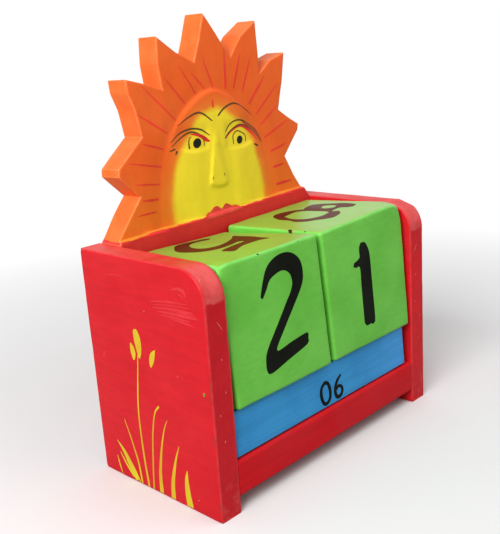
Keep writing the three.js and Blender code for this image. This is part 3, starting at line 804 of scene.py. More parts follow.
def soft_block(name, corner, size, arris, spacing, waviness, shape=None):
    """A block with rounded edges, standing on the leaning seat by its front lower corner."""
    half = np.array(size) / 2
    faces, vertices, seen = [], [], {}

    def lines(length):
        steps = [arris * math.tan(math.pi / 4 * k / ARRIS_STEPS) for k in range(ARRIS_STEPS + 1)]
        outer = [length - arris + step for step in reversed(steps)]
        count = max(1, round(2 * (length - arris) / spacing))
        middle = [(length - arris) * (2 * k / count - 1) for k in range(1, count)]
        return [-value for value in outer] + middle + outer[::-1]

    def vertex(point):
        key = tuple(np.round(point, 9))
        if key not in seen:
            seen[key] = len(vertices)
            core = np.clip(point, arris - half, half - arris)
            away = point - core
            vertices.append(core + away * (arris / max(np.linalg.norm(away), 1e-12)))
        return seen[key]

    for axis in range(3):
        first, second = (axis + 1) % 3, (axis + 2) % 3
        first_lines, second_lines = lines(half[first]), lines(half[second])
        for sign in (-1, 1):
            for a0, a1 in zip(first_lines, first_lines[1:]):
                for b0, b1 in zip(second_lines, second_lines[1:]):
                    face = []
                    for a, b in ((a0, b0), (a1, b0), (a1, b1), (a0, b1)):
                        point = np.zeros(3)
                        point[axis], point[first], point[second] = sign * half[axis], a, b
                        face.append(vertex(point))
                    faces.append(face if sign > 0 else face[::-1])
    vertices = np.array(vertices)
    inset = np.sort(np.abs(vertices) - (half - arris), axis=1)[:, 1]
    on_top = np.clip((vertices[:, 2] - half[2] + arris) / arris, 0, 1)
    # The edges are paler, the top ones most: wear, and a painted highlight on the edges that face
    # the lamp.
    worn_and_lit = np.clip(inset / (0.6 * arris), 0, 1) * (0.3 + 0.7 * on_top)
    points = vertices + half
    if shape:
        points = np.array([shape(point) for point in points])
    world = np.array(corner) + points @ np.array([RIGHT, SEAT_BACK, SEAT_UP])
    attributes = {"arris": worn_and_lit.tolist(), "on_top": on_top.tolist()}
    return finish_mesh(name, world, faces, attributes, waviness)


def number_faces(number, left, foot):
    """Faces of a month number. left and foot place the first numeral's lower left corner."""
    faces, brush = [], MONTH_HEIGHT * MONTH_BRUSH
    for place, numeral in enumerate(number):
        start = left + place * NUMERAL_PITCH * MONTH_HEIGHT
        for stroke in DIGIT_STROKE_SHARES[int(numeral)]:
            points = [
                (start + a * MONTH_HEIGHT, foot + b * MONTH_HEIGHT, half * brush)
                for a, b, half in stroke
            ]
            faces += stroke_faces(points, NUMERAL_STEP)
    return faces


def bar_tint(paint, mix):
    """Blue, handled paler towards the right end, where a finger pushes the bar along."""
    patches = mix.ramp(mix.cloud(170, 4), 0.35, 0.62, 0.6, 1.0)
    pale = mix.math("MULTIPLY", mix.ramp(mix.along("X"), *PALE_END), patches)
    return mix.blend(pale, paint, BLUE_PALE)


blue_paint = painted_wood(
    "blue_paint", BLUE, BLUE_LIGHT, BLUE_WORN, (0.04, 1, 1),
    tint=bar_tint, brush=950, streak_value=0.88, relief=0.7, rubbed_and_lit=0.3, scuffed=0.6,
)
black_ink = mark_paint(
    "black_brush_paint", BLACK_INK, BLACK_INK_THIN, streaks=(1, 1, 0.3), gloss=0.05
)
for label, numbers in MONTH_NUMBERS.items():
    bar_low, bar_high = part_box(f"month_bar_{label}")
    corner, side, _ = on_seat((bar_low, bar_high), BAR_ARRIS)
    size = (bar_high.x - bar_low.x, side, side)
    bar = soft_block(f"{label}_bar_stick", corner, size, BAR_ARRIS, BAR_SPACING, BAR_WAVINESS)
    bar.data.materials.append(blue_paint)
    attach(bar, f"{label}_bar")
    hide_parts(f"month_bar_{label}")
    walls = [
        (corner, RIGHT, SEAT_UP),
        (corner + SEAT_UP * side, RIGHT, SEAT_BACK),
        (corner + (SEAT_UP + SEAT_BACK) * side, RIGHT, -SEAT_UP),
        (corner + SEAT_BACK * side, RIGHT, -SEAT_BACK),
    ]
    left = MONTH_MIDDLE - MONTH_HEIGHT * (NUMERAL_PITCH + 1) / 2
    for place, (wall, number) in enumerate(zip(walls, numbers)):
        foot = (side - MONTH_HEIGHT) / 2 if place else MONTH_FOOT
        lay_marks(
            f"{label}_bar_number_{place + 1}", number_faces(number, left, foot), NUMERAL_SPACING,
            wall, bar, black_ink, f"{label}_bar",
        )


# The number cubes are sawn by hand from square stock, so no two sides are quite alike. Their
# numerals are painted with a broad brush, and they stand on the bars, leaning back a little.
CUBE_ARRIS = 1.05 * MM
CUBE_SEAT_ARRIS = 2 * MM
CUBE_WAVINESS = 0.12 * MM
CUBE_SPACING = 2.2 * MM
GREEN = (0.130, 0.525, 0.044)
GREEN_LIGHT = (0.170, 0.60, 0.068)
# The pale green of the edges is worn paint and a painted highlight on their rounding.
GREEN_WORN_AND_LIT = (0.22, 0.78, 0.17)
# The tops are painted a yellower green, a painted reflection of the light and the orange sun board
# above them.
GREEN_TOP_SHEEN = (0.27, 0.51, 0.062)
# The numerals that lie on top are painted brown in place of black: a painted reflection of the
# orange sun board in their gloss.
TOP_INK_SUN_REFLECTION = (0.085, 0.016, 0.006)
TOP_INK_SUN_REFLECTION_THIN = (0.12, 0.024, 0.009)
# Numerals that fill a cube's face, as closed outlines in shares of the cube's side.
TWO_OUTLINE_SHARES = [
    (0.34, 0.697), (0.412, 0.861), (0.493, 0.926), (0.598, 0.95), (0.703, 0.929),
    (0.781, 0.862), (0.801, 0.772), (0.777, 0.678), (0.668, 0.549), (0.558, 0.429),
    (0.447, 0.283), (0.613, 0.299), (0.783, 0.314), (0.786, 0.269), (0.773, 0.229),
    (0.563, 0.179), (0.374, 0.136), (0.329, 0.158), (0.324, 0.218), (0.347, 0.302),
    (0.45, 0.429), (0.574, 0.573), (0.665, 0.684), (0.672, 0.759), (0.631, 0.812),
    (0.561, 0.829), (0.453, 0.795), (0.405, 0.733), (0.356, 0.678),
]
ONE_OUTLINE_SHARES = [
    (0.439, 0.799), (0.459, 0.824), (0.514, 0.819), (0.539, 0.784), (0.559, 0.739),
    (0.568, 0.639), (0.569, 0.4), (0.567, 0.155), (0.511, 0.152), (0.454, 0.149),
    (0.43, 0.174), (0.427, 0.239), (0.426, 0.449), (0.427, 0.634), (0.384, 0.641),
    (0.344, 0.657), (0.356, 0.684), (0.399, 0.694), (0.432, 0.711), (0.434, 0.759),
]
FIVE_OUTLINE_SHARES = [
    (0.815, 0.308), (0.83, 0.394), (0.853, 0.514), (0.858, 0.634), (0.852, 0.73),
    (0.801, 0.689), (0.732, 0.635), (0.627, 0.576), (0.522, 0.545), (0.436, 0.55),
    (0.386, 0.589), (0.381, 0.662), (0.416, 0.754), (0.493, 0.834), (0.602, 0.865),
    (0.688, 0.841), (0.736, 0.873), (0.692, 0.911), (0.611, 0.925), (0.502, 0.946),
    (0.406, 0.911), (0.333, 0.835), (0.265, 0.747), (0.241, 0.651), (0.27, 0.537),
    (0.327, 0.475), (0.421, 0.444), (0.54, 0.457), (0.667, 0.491), (0.69, 0.45),
    (0.592, 0.431), (0.496, 0.408), (0.371, 0.366), (0.363, 0.305), (0.388, 0.249),
    (0.479, 0.295), (0.569, 0.337), (0.695, 0.349), (0.764, 0.337),
]
# The eight is drawn as four strokes, two for each of its loops.
EIGHT_OUTLINE_SHARES = [
    [(0.349, 0.796), (0.274, 0.662), (0.269, 0.55), (0.237, 0.463), (0.268, 0.374),
     (0.339, 0.318), (0.389, 0.268), (0.452, 0.238), (0.553, 0.26), (0.623, 0.304),
     (0.647, 0.354), (0.598, 0.391), (0.477, 0.371), (0.376, 0.405), (0.321, 0.476),
     (0.323, 0.584), (0.376, 0.703)],
    [(0.349, 0.796), (0.446, 0.839), (0.562, 0.801), (0.649, 0.688), (0.676, 0.589),
     (0.661, 0.44), (0.621, 0.38), (0.572, 0.371), (0.611, 0.431), (0.612, 0.537),
     (0.592, 0.642), (0.535, 0.716), (0.376, 0.703)],
    [(0.635, 0.695), (0.749, 0.752), (0.817, 0.757), (0.876, 0.68), (0.906, 0.582),
     (0.932, 0.482), (0.907, 0.364), (0.859, 0.334), (0.839, 0.495), (0.838, 0.554),
     (0.796, 0.617), (0.712, 0.587)],
    [(0.859, 0.334), (0.801, 0.338), (0.765, 0.415), (0.687, 0.414), (0.636, 0.41),
     (0.659, 0.474), (0.62, 0.562), (0.619, 0.682), (0.712, 0.587), (0.71, 0.526),
     (0.767, 0.475), (0.839, 0.495)],
]
OUTLINE_SHARES = {
    1: [ONE_OUTLINE_SHARES],
    2: [TWO_OUTLINE_SHARES],
    5: [FIVE_OUTLINE_SHARES],
    8: EIGHT_OUTLINE_SHARES,
}
# The other numerals are strokes within this margin of the cube's face.
NUMERAL_MARGIN = 0.1
OUTLINE_STEP_SHARE = 0.02
STROKE_STEP_SHARE = 0.015
# Numerals on front, right, back, left, top and bottom.
CUBE_NUMERALS = {"left": (2, 3, 4, 0, 5, 1), "right": (1, 7, 0, 2, 8, 6)}
# How far the saw left each corner from its place, in millimetres to the right, back and up.
# A corner is given by right or left, back or front, and top or bottom, as ones and noughts.
SAWN_CORNERS = {
    "left": {
        (0, 0, 0): (0.7, 0.1, 0), (0, 0, 1): (-0.8, 0.2, 0), (0, 1, 1): (0, -0.1, -0.2),
        (1, 0, 0): (1.4, 0, 0), (1, 0, 1): (0, 0.2, 0.2), (1, 1, 0): (0.2, 0, 0),
        (1, 1, 1): (0.6, -0.3, -1.1),
    },
    "right": {
        (0, 0, 0): (1, 0.2, 0), (0, 0, 1): (-0.45, 0.2, 0), (0, 1, 1): (-0.1, -0.1, 0.7),
        (1, 0, 0): (1.9, 0, 0), (1, 0, 1): (1.9, 0.1, 1.9), (1, 1, 0): (1.2, 0, 0),
        (1, 1, 1): (1.2, -0.1, 2.1),
    },
}
# The front top corners by the panels are knocked round: which end of the cube's width it is, how
# far the blow reaches, and how far it goes to the right, back and up, in millimetres.
BLUNT_CORNERS = {"left": (0, 4, (1, 0.5, -0.8)), "right": (1, 8, (-1.1, 0.5, -1.1))}
# Small chips on one upper edge of each cube, the front one of the left cube and the left one of
# the right cube: along the edge, over it, and half the width, in millimetres.
CHIP_BROWN = (0.022, 0.014, 0.008)
CHIP_BROWN_LIGHT = (0.06, 0.03, 0.018)
CHIP_SPACING = 0.3 * MM
CHIP_STEP = 0.2 * MM
CHIP_LAYER = 0.1 * MM
CUBE_CHIP_STROKES = {
    "left": [[(14.2, 0.2, 0.14), (14.6, 0.1, 0.2)], [(30.5, 0, 0.08), (30.8, 0.1, 0.1)]],
    "right": [[(-11.6, -0.5, 0.3), (-12.1, -0.1, 0.6), (-12.7, 0.2, 0.35)],
              [(-6.3, 0, 0.14), (-6.7, 0.1, 0.1)]],
}
PALE_CHIP_STROKES = {
    "left": [[(29.6, 0, 0.08), (29.8, 0.1, 0.1)]],
    "right": [[(-10.9, -0.4, 0.1), (-11.2, -0.2, 0.22)],
              [(-13.6, 0.1, 0.1), (-13.8, 0.1, 0.14)]],
}


def cube_tint(paint, mix):
    """Green, painted a yellower green on the side that lies on top: a painted sheen of the light
    and the orange sun board reflected in it.
    """
    patches = mix.ramp(mix.cloud(70), 0.3, 0.7, 0.65, 1.0)
    top_sheen = mix.math("MULTIPLY", mix.ramp(mix.attribute("on_top"), 0.6, 1.0), patches)
    return mix.blend(top_sheen, paint, GREEN_TOP_SHEEN)


def numeral_faces(numeral):
    """Faces of one numeral, in shares of the side of the cube that it fills."""
    if numeral in OUTLINE_SHARES:
        shares = OUTLINE_SHARES[numeral]
        return [smooth_path(outline, OUTLINE_STEP_SHARE, closed=True) for outline in shares]
    faces, scale = [], 1 - 2 * NUMERAL_MARGIN
    for stroke in DIGIT_STROKE_SHARES[numeral]:
        shrunk = [
            (NUMERAL_MARGIN + scale * a, NUMERAL_MARGIN + scale * b, scale * half)
            for a, b, half in stroke
        ]
        faces += stroke_faces(shrunk, STROKE_STEP_SHARE)
    return faces


green_paint = painted_wood(
    "green_paint", GREEN, GREEN_LIGHT, GREEN_WORN_AND_LIT, (0.35, 0.35, 1), tint=cube_tint, gloss=0.36,
    roughness=(0.3, 0.36), brush=800, streak_value=0.95, relief=0.6, rubbed_and_lit=0.6, scuffed=0.0,
)
chip_brown = mark_paint("dark_chip_paint", CHIP_BROWN, CHIP_BROWN_LIGHT, gloss=0.1)
reflecting_top_ink = mark_paint("sun_reflecting_ink_paint", TOP_INK_SUN_REFLECTION, TOP_INK_SUN_REFLECTION_THIN, streaks=(1, 1, 0.3), gloss=0.05)
cube_chips = {
    "chips": (CUBE_CHIP_STROKES, chip_brown),
    "pale_chips": (PALE_CHIP_STROKES, chip_paint),
}
for label, numerals in CUBE_NUMERALS.items():
    corner, side, height = on_seat(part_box(f"{label}_number_cube"), CUBE_SEAT_ARRIS)
    size = (side, side, height)

    def hand_sawn(point, size=size, sawn=SAWN_CORNERS[label], blunt=BLUNT_CORNERS[label]):
        share = np.clip(point / size, 0, 1)
        moved = np.array(point, float)
        for ends, offset in sawn.items():
            weight = np.prod([part if end else 1 - part for part, end in zip(share, ends)])
            moved += np.array(offset) * (MM * weight)
        end, reach, offset = blunt
        nearness = max(0.0, 1 - math.dist(point, (end * size[0], 0, size[2])) / (reach * MM))
        return moved + np.array(offset) * (MM * nearness**2)

    cube = soft_block(
        f"{label}_cube_block", corner, size, CUBE_ARRIS, CUBE_SPACING, CUBE_WAVINESS, hand_sawn
    )
    cube.data.materials.append(green_paint)
    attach(cube, f"{label}_cube")
    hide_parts(f"{label}_number_cube")
    walls = [
        (corner, RIGHT, SEAT_UP),
        (corner + RIGHT * side, SEAT_BACK, SEAT_UP),
        (corner + (RIGHT + SEAT_BACK) * side, -RIGHT, SEAT_UP),
        (corner + SEAT_BACK * side, -SEAT_BACK, SEAT_UP),
        (corner + SEAT_UP * height, RIGHT, SEAT_BACK),
        (corner + SEAT_BACK * side, RIGHT, -SEAT_BACK),
    ]
    for place, (wall, numeral) in enumerate(zip(walls, numerals)):
        foot = height - side if wall[2] == SEAT_UP else 0
        faces = [[(a * side, b * side + foot) for a, b in face] for face in numeral_faces(numeral)]
        lay_marks(
            f"{label}_cube_numeral_{place + 1}", faces, NUMERAL_SPACING, wall, cube,
            # The top numeral gets the brown ink of the painted reflection.
            reflecting_top_ink if place == 4 else black_ink, f"{label}_cube",
        )
    along, behind = (RIGHT, SEAT_BACK) if label == "left" else (-SEAT_BACK, RIGHT)
    edge = (corner + SEAT_UP * height, along, (SEAT_UP + behind).normalized())
    for chip_name, (strokes, paint) in cube_chips.items():
        lay_marks(
            f"{label}_cube_{chip_name}", brushed(strokes[label], CHIP_STEP), CHIP_SPACING, edge,
            cube, paint, f"{label}_cube", CHIP_LAYER,
        )


# The sun board is sawn from a thick board and carved by hand. Its plain lower part is red, and
# above a small ledge stand the rays, with a face that is left nearer to the board's surface.
SUN_SPACING = 0.5 * MM
SUN_STEP = 0.6 * MM
SUN_ARRIS = 0.4 * MM
SUN_WAVINESS = 0.07 * MM
SAW_SLANT = 0.07
SAW_SLANT_FADE = 8 * MM
SUN_RISE = 63.1 * MM
SUN_OUTLINE_SHARES = [
    (-1, 0), (-0.757, 0.195), (-0.921, 0.3), (-0.917, 0.335), (-0.693, 0.463),
    (-0.731, 0.588), (-0.778, 0.664), (-0.786, 0.724), (-0.64, 0.7), (-0.478, 0.665),
    (-0.5, 0.78), (-0.49, 0.903), (-0.33, 0.83), (-0.163, 0.777), (-0.1, 0.88), (-0.04, 1),
    (0.08, 0.9), (0.205, 0.789), (0.33, 0.89), (0.495, 0.96), (0.507, 0.82), (0.513, 0.698),
    (0.64, 0.76), (0.81, 0.794), (0.77, 0.65), (0.71, 0.501), (0.83, 0.45), (0.942, 0.41),
    (0.93, 0.375), (0.755, 0.247), (0.85, 0.14), (1, 0),
]
LEDGE_LEFT = 0.6 * MM
LEDGE_RIGHT = 3.5 * MM
LEDGE_RUN = 0.42 * MM
RAY_CARVING = 1.5 * MM
FACE_OFFSET = -0.7 * MM
FACE_HALF_WIDTH = 24 * MM
FACE_RISE = 40.9 * MM
FACE_ARCH_POWERS = (1.6, 2.6)
FACE_SLOPE = 0.62
FACE_CARVING = 0.9 * MM
FACE_SIDE_FALL = 0.1 * MM
FACE_RIM = (-0.2 * MM, 0.95 * MM)
FACE_SIDE_SINK = 0.65 * MM
SINK_ACROSS = (0.35, 0.9)
SINK_TOP = (30 * MM, 38 * MM)
RIM_GROOVE = 0.22 * MM
RIM_GROOVE_RUN = 5 * MM
EYE_RISE = 22.6 * MM
EYE_RISE_DIFFERENCE = 1.2 * MM
EYES_APART = (-3 * MM, 3 * MM)
EYE_MIDDLE = 8.5 * MM
EYE_BOWL = 0.024 / MM
EYE_HOLLOW = 0.4 * MM
LID_EDGE = (-0.3 * MM, 0.4 * MM)
EYE_INNER = (2.5 * MM, 5 * MM)
EYE_OUTER = (14 * MM, 19 * MM)
BROW_ABOVE_EYE = (5 * MM, 9 * MM)
NOSE_OFFSET = -0.2 * MM
NOSE_TOP_RISE = 30 * MM
NOSE_BOTTOM_RISE = 10.2 * MM
NOSE_RAISE = 0.5 * MM
NOSE_TOP_SHARE = 0.3
NOSE_HALF_WIDTH_TOP = 1.1 * MM
NOSE_HALF_WIDTH_GAIN = 3.9 * MM
NOSE_FLANK_START = -0.1 * MM
NOSE_FLANK_LEFT = 0.5 * MM
NOSE_FLANK_RIGHT = 3.6 * MM
NOSE_TIP_BOW = 0.05 / MM
NOSE_TIP = (-0.6 * MM, 0.9 * MM)
NOSE_ROOT = 7 * MM
CHEEK_FALL = 0.15 * MM
CHEEK_ACROSS = (5 * MM, 9.5 * MM)

board_low, board_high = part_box("sun_board")
half_width = (board_high.x - board_low.x) / 2
ledge_middle = (LEDGE_LEFT + LEDGE_RIGHT) / 2


def smoothstep(value, low, high):
    share = min(1.0, max(0.0, (value - low) / (high - low)))
    return share * share * (3 - 2 * share)


def ledge_rise(x):
    return LEDGE_LEFT + (LEDGE_RIGHT - LEDGE_LEFT) * (x / half_width + 1) / 2


def into_face(x, rise):
    """How far inside the face's arched rim a place lies, negative outside it."""
    across = abs(x - FACE_OFFSET) / FACE_HALF_WIDTH
    up = max(0, rise - ledge_middle) / (FACE_RISE - ledge_middle)
    across_power, up_power = FACE_ARCH_POWERS
    return (1 - up**up_power - across**across_power) * FACE_HALF_WIDTH * FACE_SLOPE


def face_depth(x, rise):
    """How deep the face is carved: sunk beside the cheeks and at the eyes, raised at the nose."""
    across = (x - FACE_OFFSET) / FACE_HALF_WIDTH
    depth = FACE_CARVING + FACE_SIDE_FALL * across**2
    beside = smoothstep(abs(across), *SINK_ACROSS) * (1 - smoothstep(rise, *SINK_TOP))
    depth += FACE_SIDE_SINK * beside
    lid = EYE_RISE - EYE_RISE_DIFFERENCE * smoothstep(x, *EYES_APART)
    lid += EYE_BOWL * (abs(x) - EYE_MIDDLE) ** 2
    over_cheeks = smoothstep(rise - lid, *LID_EDGE)
    under_brow = 1 - smoothstep(rise - EYE_RISE, *BROW_ABOVE_EYE)
    beside_nose = smoothstep(abs(x), *EYE_INNER) * (1 - smoothstep(abs(x), *EYE_OUTER))
    depth += EYE_HOLLOW * over_cheeks * under_brow * beside_nose
    from_nose = abs(x - NOSE_OFFSET)
    depth += CHEEK_FALL * (1 - smoothstep(from_nose, *CHEEK_ACROSS)) * (1 - over_cheeks)
    down = min(1.0, max(0.0, (NOSE_TOP_RISE - rise) / (NOSE_TOP_RISE - NOSE_BOTTOM_RISE)))
    half = NOSE_HALF_WIDTH_TOP + NOSE_HALF_WIDTH_GAIN * down
    flank = NOSE_FLANK_LEFT if x < NOSE_OFFSET else NOSE_FLANK_RIGHT
    side = smoothstep(half - from_nose, NOSE_FLANK_START, flank)
    tip = NOSE_BOTTOM_RISE + NOSE_TIP_BOW * from_nose**2
    end = smoothstep(rise - tip, *NOSE_TIP)
    root = 1 - smoothstep(rise, NOSE_TOP_RISE - NOSE_ROOT, NOSE_TOP_RISE)
    raised = NOSE_RAISE * (NOSE_TOP_SHARE + (1 - NOSE_TOP_SHARE) * down) + CHEEK_FALL
    return depth - raised * side * end * root


def sun_depth(x, z):
    """How deep the board is carved: not at all below the ledge, rays and face above it."""
    rise = z - PANEL_TOP
    above = rise - ledge_rise(x)
    if above <= 0:
        return 0.0
    inside = into_face(x, rise)
    rays = RAY_CARVING + RIM_GROOVE * (1 - smoothstep(-inside, 0, RIM_GROOVE_RUN))
    share = smoothstep(inside, *FACE_RIM)
    depth = rays * (1 - share) + face_depth(x, rise) * share
    return depth * smoothstep(above, 0, LEDGE_RUN)


def sun_place(across, up, depth):
    """The saw leaned a little as it cut the rays, so their edges slant."""
    slant = SAW_SLANT * depth * smoothstep(up, PANEL_TOP, PANEL_TOP + SAW_SLANT_FADE)
    return across - slant, board_low.y + depth, up


sun_corners = [
    (across * half_width, PANEL_TOP + rise * SUN_RISE)
    for across, rise in reversed(SUN_OUTLINE_SHARES)
]
sun = sawn_board(
    "sun_board_carved",
    [(half_width, board_low.z)] + sun_corners + [(-half_width, board_low.z)],
    board_high.y - board_low.y,
    sun_place,
    SUN_SPACING,
    SUN_ARRIS,
    SUN_WAVINESS,
    carve=sun_depth,
    step=SUN_STEP,
)

# The board is painted orange above the ledge and red below it, and then the face is sprayed
# yellow, thinly enough for the yellow to fade into the orange.
ORANGE = (0.90, 0.125, 0.018)
ORANGE_LIGHT = (0.93, 0.15, 0.028)
ORANGE_EDGE = (0.83, 0.175, 0.038)
# The pale orange is worn paint and a painted glint on the sawn corners.
ORANGE_WORN_AND_LIT = (0.95, 0.33, 0.14)
YELLOW = (0.97, 0.74, 0.034)
# A lighter red near the ledge: painted light on the strip behind the cubes.
RED_FOOT_PAINTED_LIGHT = (0.74, 0.036, 0.034)
# Painted shade on the ledge's upward slope.
LEDGE_SHADE_TONE = (0.66, 0.36, 0.035)
LIP_MIDDLE = -0.4
LINE_BY_LIPS = 0.75
FRONT_DEPTH = 2.5 * MM
# Where one colour turns into the next, in millimetres into the yellow or above the ledge.
SPRAY_EDGE = (-1.3, 1.5)
MIST_EDGE = (-5.5, 0.5)
HIGH_MIST = (3.0, 20.0)
LEDGE_SHADE = (0.9, 0.3)
PAINT_LINE = (0.05, 0.3)
FOOT_FADE = (-9.0, -1.0)
SPRAY_WOBBLE = 1.6
# The yellow is full inside this outline, in millimetres across and above the panels' tops.
YELLOW_OUTLINE = [
    (-19.7, -4), (-19.8, 2.7), (-20.1, 4.7), (-20, 10.6), (-19.2, 15.1), (-17.7, 19.6),
    (-15.8, 23), (-13.3, 25.9), (-11.1, 28), (-10, 30.7), (-8.4, 32.5), (-5.9, 33.7),
    (-2.8, 34.7), (0.4, 35.1), (3.7, 34.3), (6.4, 32.5), (8.8, 30.7), (12.9, 27.8),
    (14.9, 24.8), (16.7, 21.7), (18, 17.3), (18.8, 15), (20.1, 8.9), (20.7, 2.5), (20.8, -4),
]
yellow_edge = np.array(YELLOW_OUTLINE)
sun_points = np.array([tuple(vertex.co) for vertex in sun.data.vertices])
flat_points = (sun_points[:, [0, 2]] - (0, PANEL_TOP)) / MM
above_ledge = flat_points[:, 1] - [ledge_rise(x * MM) / MM for x in flat_points[:, 0]]
# By the lips the red and the orange meet a little higher, on the board's front alone.
by_lips = np.clip(4 - np.abs(flat_points[:, 0] - LIP_MIDDLE) / 2, 0, 1)
above_ledge -= LINE_BY_LIPS * by_lips * (sun_points[:, 1] < board_low.y + FRONT_DEPTH)
into_yellow = edge_distances(flat_points, yellow_edge)
for key, values in (("into_yellow", into_yellow), ("above_ledge", above_ledge)):
    layer = sun.data.attributes.new(key, "FLOAT", "POINT")
    layer.data.foreach_set("value", values.astype(np.float32))


def sun_tint(paint, mix):
    """Rays in orange, lighter on the sawn edges, a sprayed yellow face, the ledge dulled with
    painted shade, and a red foot painted lighter towards the ledge as painted light.
    """
    wobble = mix.math("MULTIPLY", mix.math("SUBTRACT", mix.cloud(230), 0.5), SPRAY_WOBBLE)
    on_front, above = mix.attribute("on_front"), mix.attribute("above_ledge")
    inside, front = mix.attribute("into_yellow"), mix.ramp(on_front, 0.5, 0.9)
    patches = mix.ramp(mix.cloud(130, 5), 0.38, 0.64, 0.0, 0.6)
    sawn_side = mix.blend(patches, ORANGE_EDGE, ORANGE)
    face = mix.blend(mix.ramp(on_front, 0.35, 0.75), sawn_side, paint)
    mist = mix.ramp(inside, *MIST_EDGE, 0.0, 0.14)
    mist = mix.math("ADD", mist, mix.ramp(above, *HIGH_MIST, 0.08, 0.0))
    sprayed = mix.ramp(mix.math("ADD", inside, wobble), *SPRAY_EDGE)
    for share in (mist, sprayed):
        face = mix.blend(mix.math("MULTIPLY", share, front), face, YELLOW)
    # The ledge's upward slope is dulled towards brown: painted shade, toning down the light it
    # catches.
    ledge = mix.math("MULTIPLY", mix.ramp(above, *LEDGE_SHADE), front)
    face = mix.blend(mix.math("MULTIPLY", ledge, 0.6), face, LEDGE_SHADE_TONE)
    line = mix.math("ADD", above, mix.math("MULTIPLY", wobble, 0.6))
    # The red foot turns lighter towards the ledge: painted light on the strip that the cubes
    # shade.
    foot = mix.blend(mix.ramp(above, *FOOT_FADE), RED, RED_FOOT_PAINTED_LIGHT)
    return mix.blend(mix.ramp(line, *PAINT_LINE), foot, face)


sun_paint = painted_wood(
    "sun_paint", ORANGE, ORANGE_LIGHT, ORANGE_WORN_AND_LIT, (1, 1, 0.5),
    tint=sun_tint, gloss=0.1, streak_value=0.95, rubbed_and_lit=0.42, scuffed=0.4,
)
sun.data.materials.append(sun_paint)
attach(sun, "frame")
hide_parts("sun_board")

# The sun's features and the thin lines on its rays are single strokes of a fine brush. Each
# point is across, above the side panels' tops, and half the stroke's width, in millimetres.
LINE_RED = (0.80, 0.05, 0.024)
LIP_RED = (0.75, 0.026, 0.022)
LIP_LIGHT = (0.80, 0.085, 0.065)
LINE_BROWN = (0.10, 0.05, 0.012)
SHADE_BROWN = (0.36, 0.065, 0.018)
DOT_OLIVE = (0.30, 0.25, 0.012)
THIN_INK = 1.25
THICK_LAYER = 0.08 * MM
FEATURE_STEP = 0.3 * MM
FEATURE_SPACING = 0.35 * MM
LIP_STEP_MM = 0.4
LIP_SPACING = 0.3 * MM
# A ray line's outer and inner end and half the brush stroke's width between them.
RAY_TIP_SHARE, RAY_ROOT_SHARE = 0.3, 0.8
RAY_LINES = [
    (-28.1, 43.6, -16.4, 32.9, 0.3), (-30.5, 35.8, -20.1, 29.4, 0.36),
    (-29.6, 27.3, -22, 24.9, 0.34), (-35.4, 22.5, -23.3, 19.8, 0.28),
    (-33.9, 16.1, -24.9, 14.9, 0.26), (-31.6, 11, -25.8, 10.5, 0.42),
    (-34.2, 6.9, -27, 7, 0.28), (-19.5, 45.4, -12.1, 37.4, 0.3),
    (-13.4, 48.4, -7.3, 39.8, 0.27), (-8.7, 46, -3.4, 41, 0.3), (-3.5, 49.9, 0.3, 40.8, 0.36),
    (5.9, 52.8, 5.5, 40.5, 0.5), (13, 51, 9, 40.4, 0.4), (17.5, 49.3, 13, 39.2, 0.38),
    (23.5, 43, 15.9, 35, 0.52), (29.4, 40, 19, 31.4, 0.34), (29, 33, 20.9, 27.7, 0.38),
    (33.6, 27.6, 22.3, 23.2, 0.36), (32.8, 20, 25, 18.3, 0.42), (31, 13.2, 25.8, 12.7, 0.48),
    (34.8, 6.9, 27, 6.6, 0.52),
]
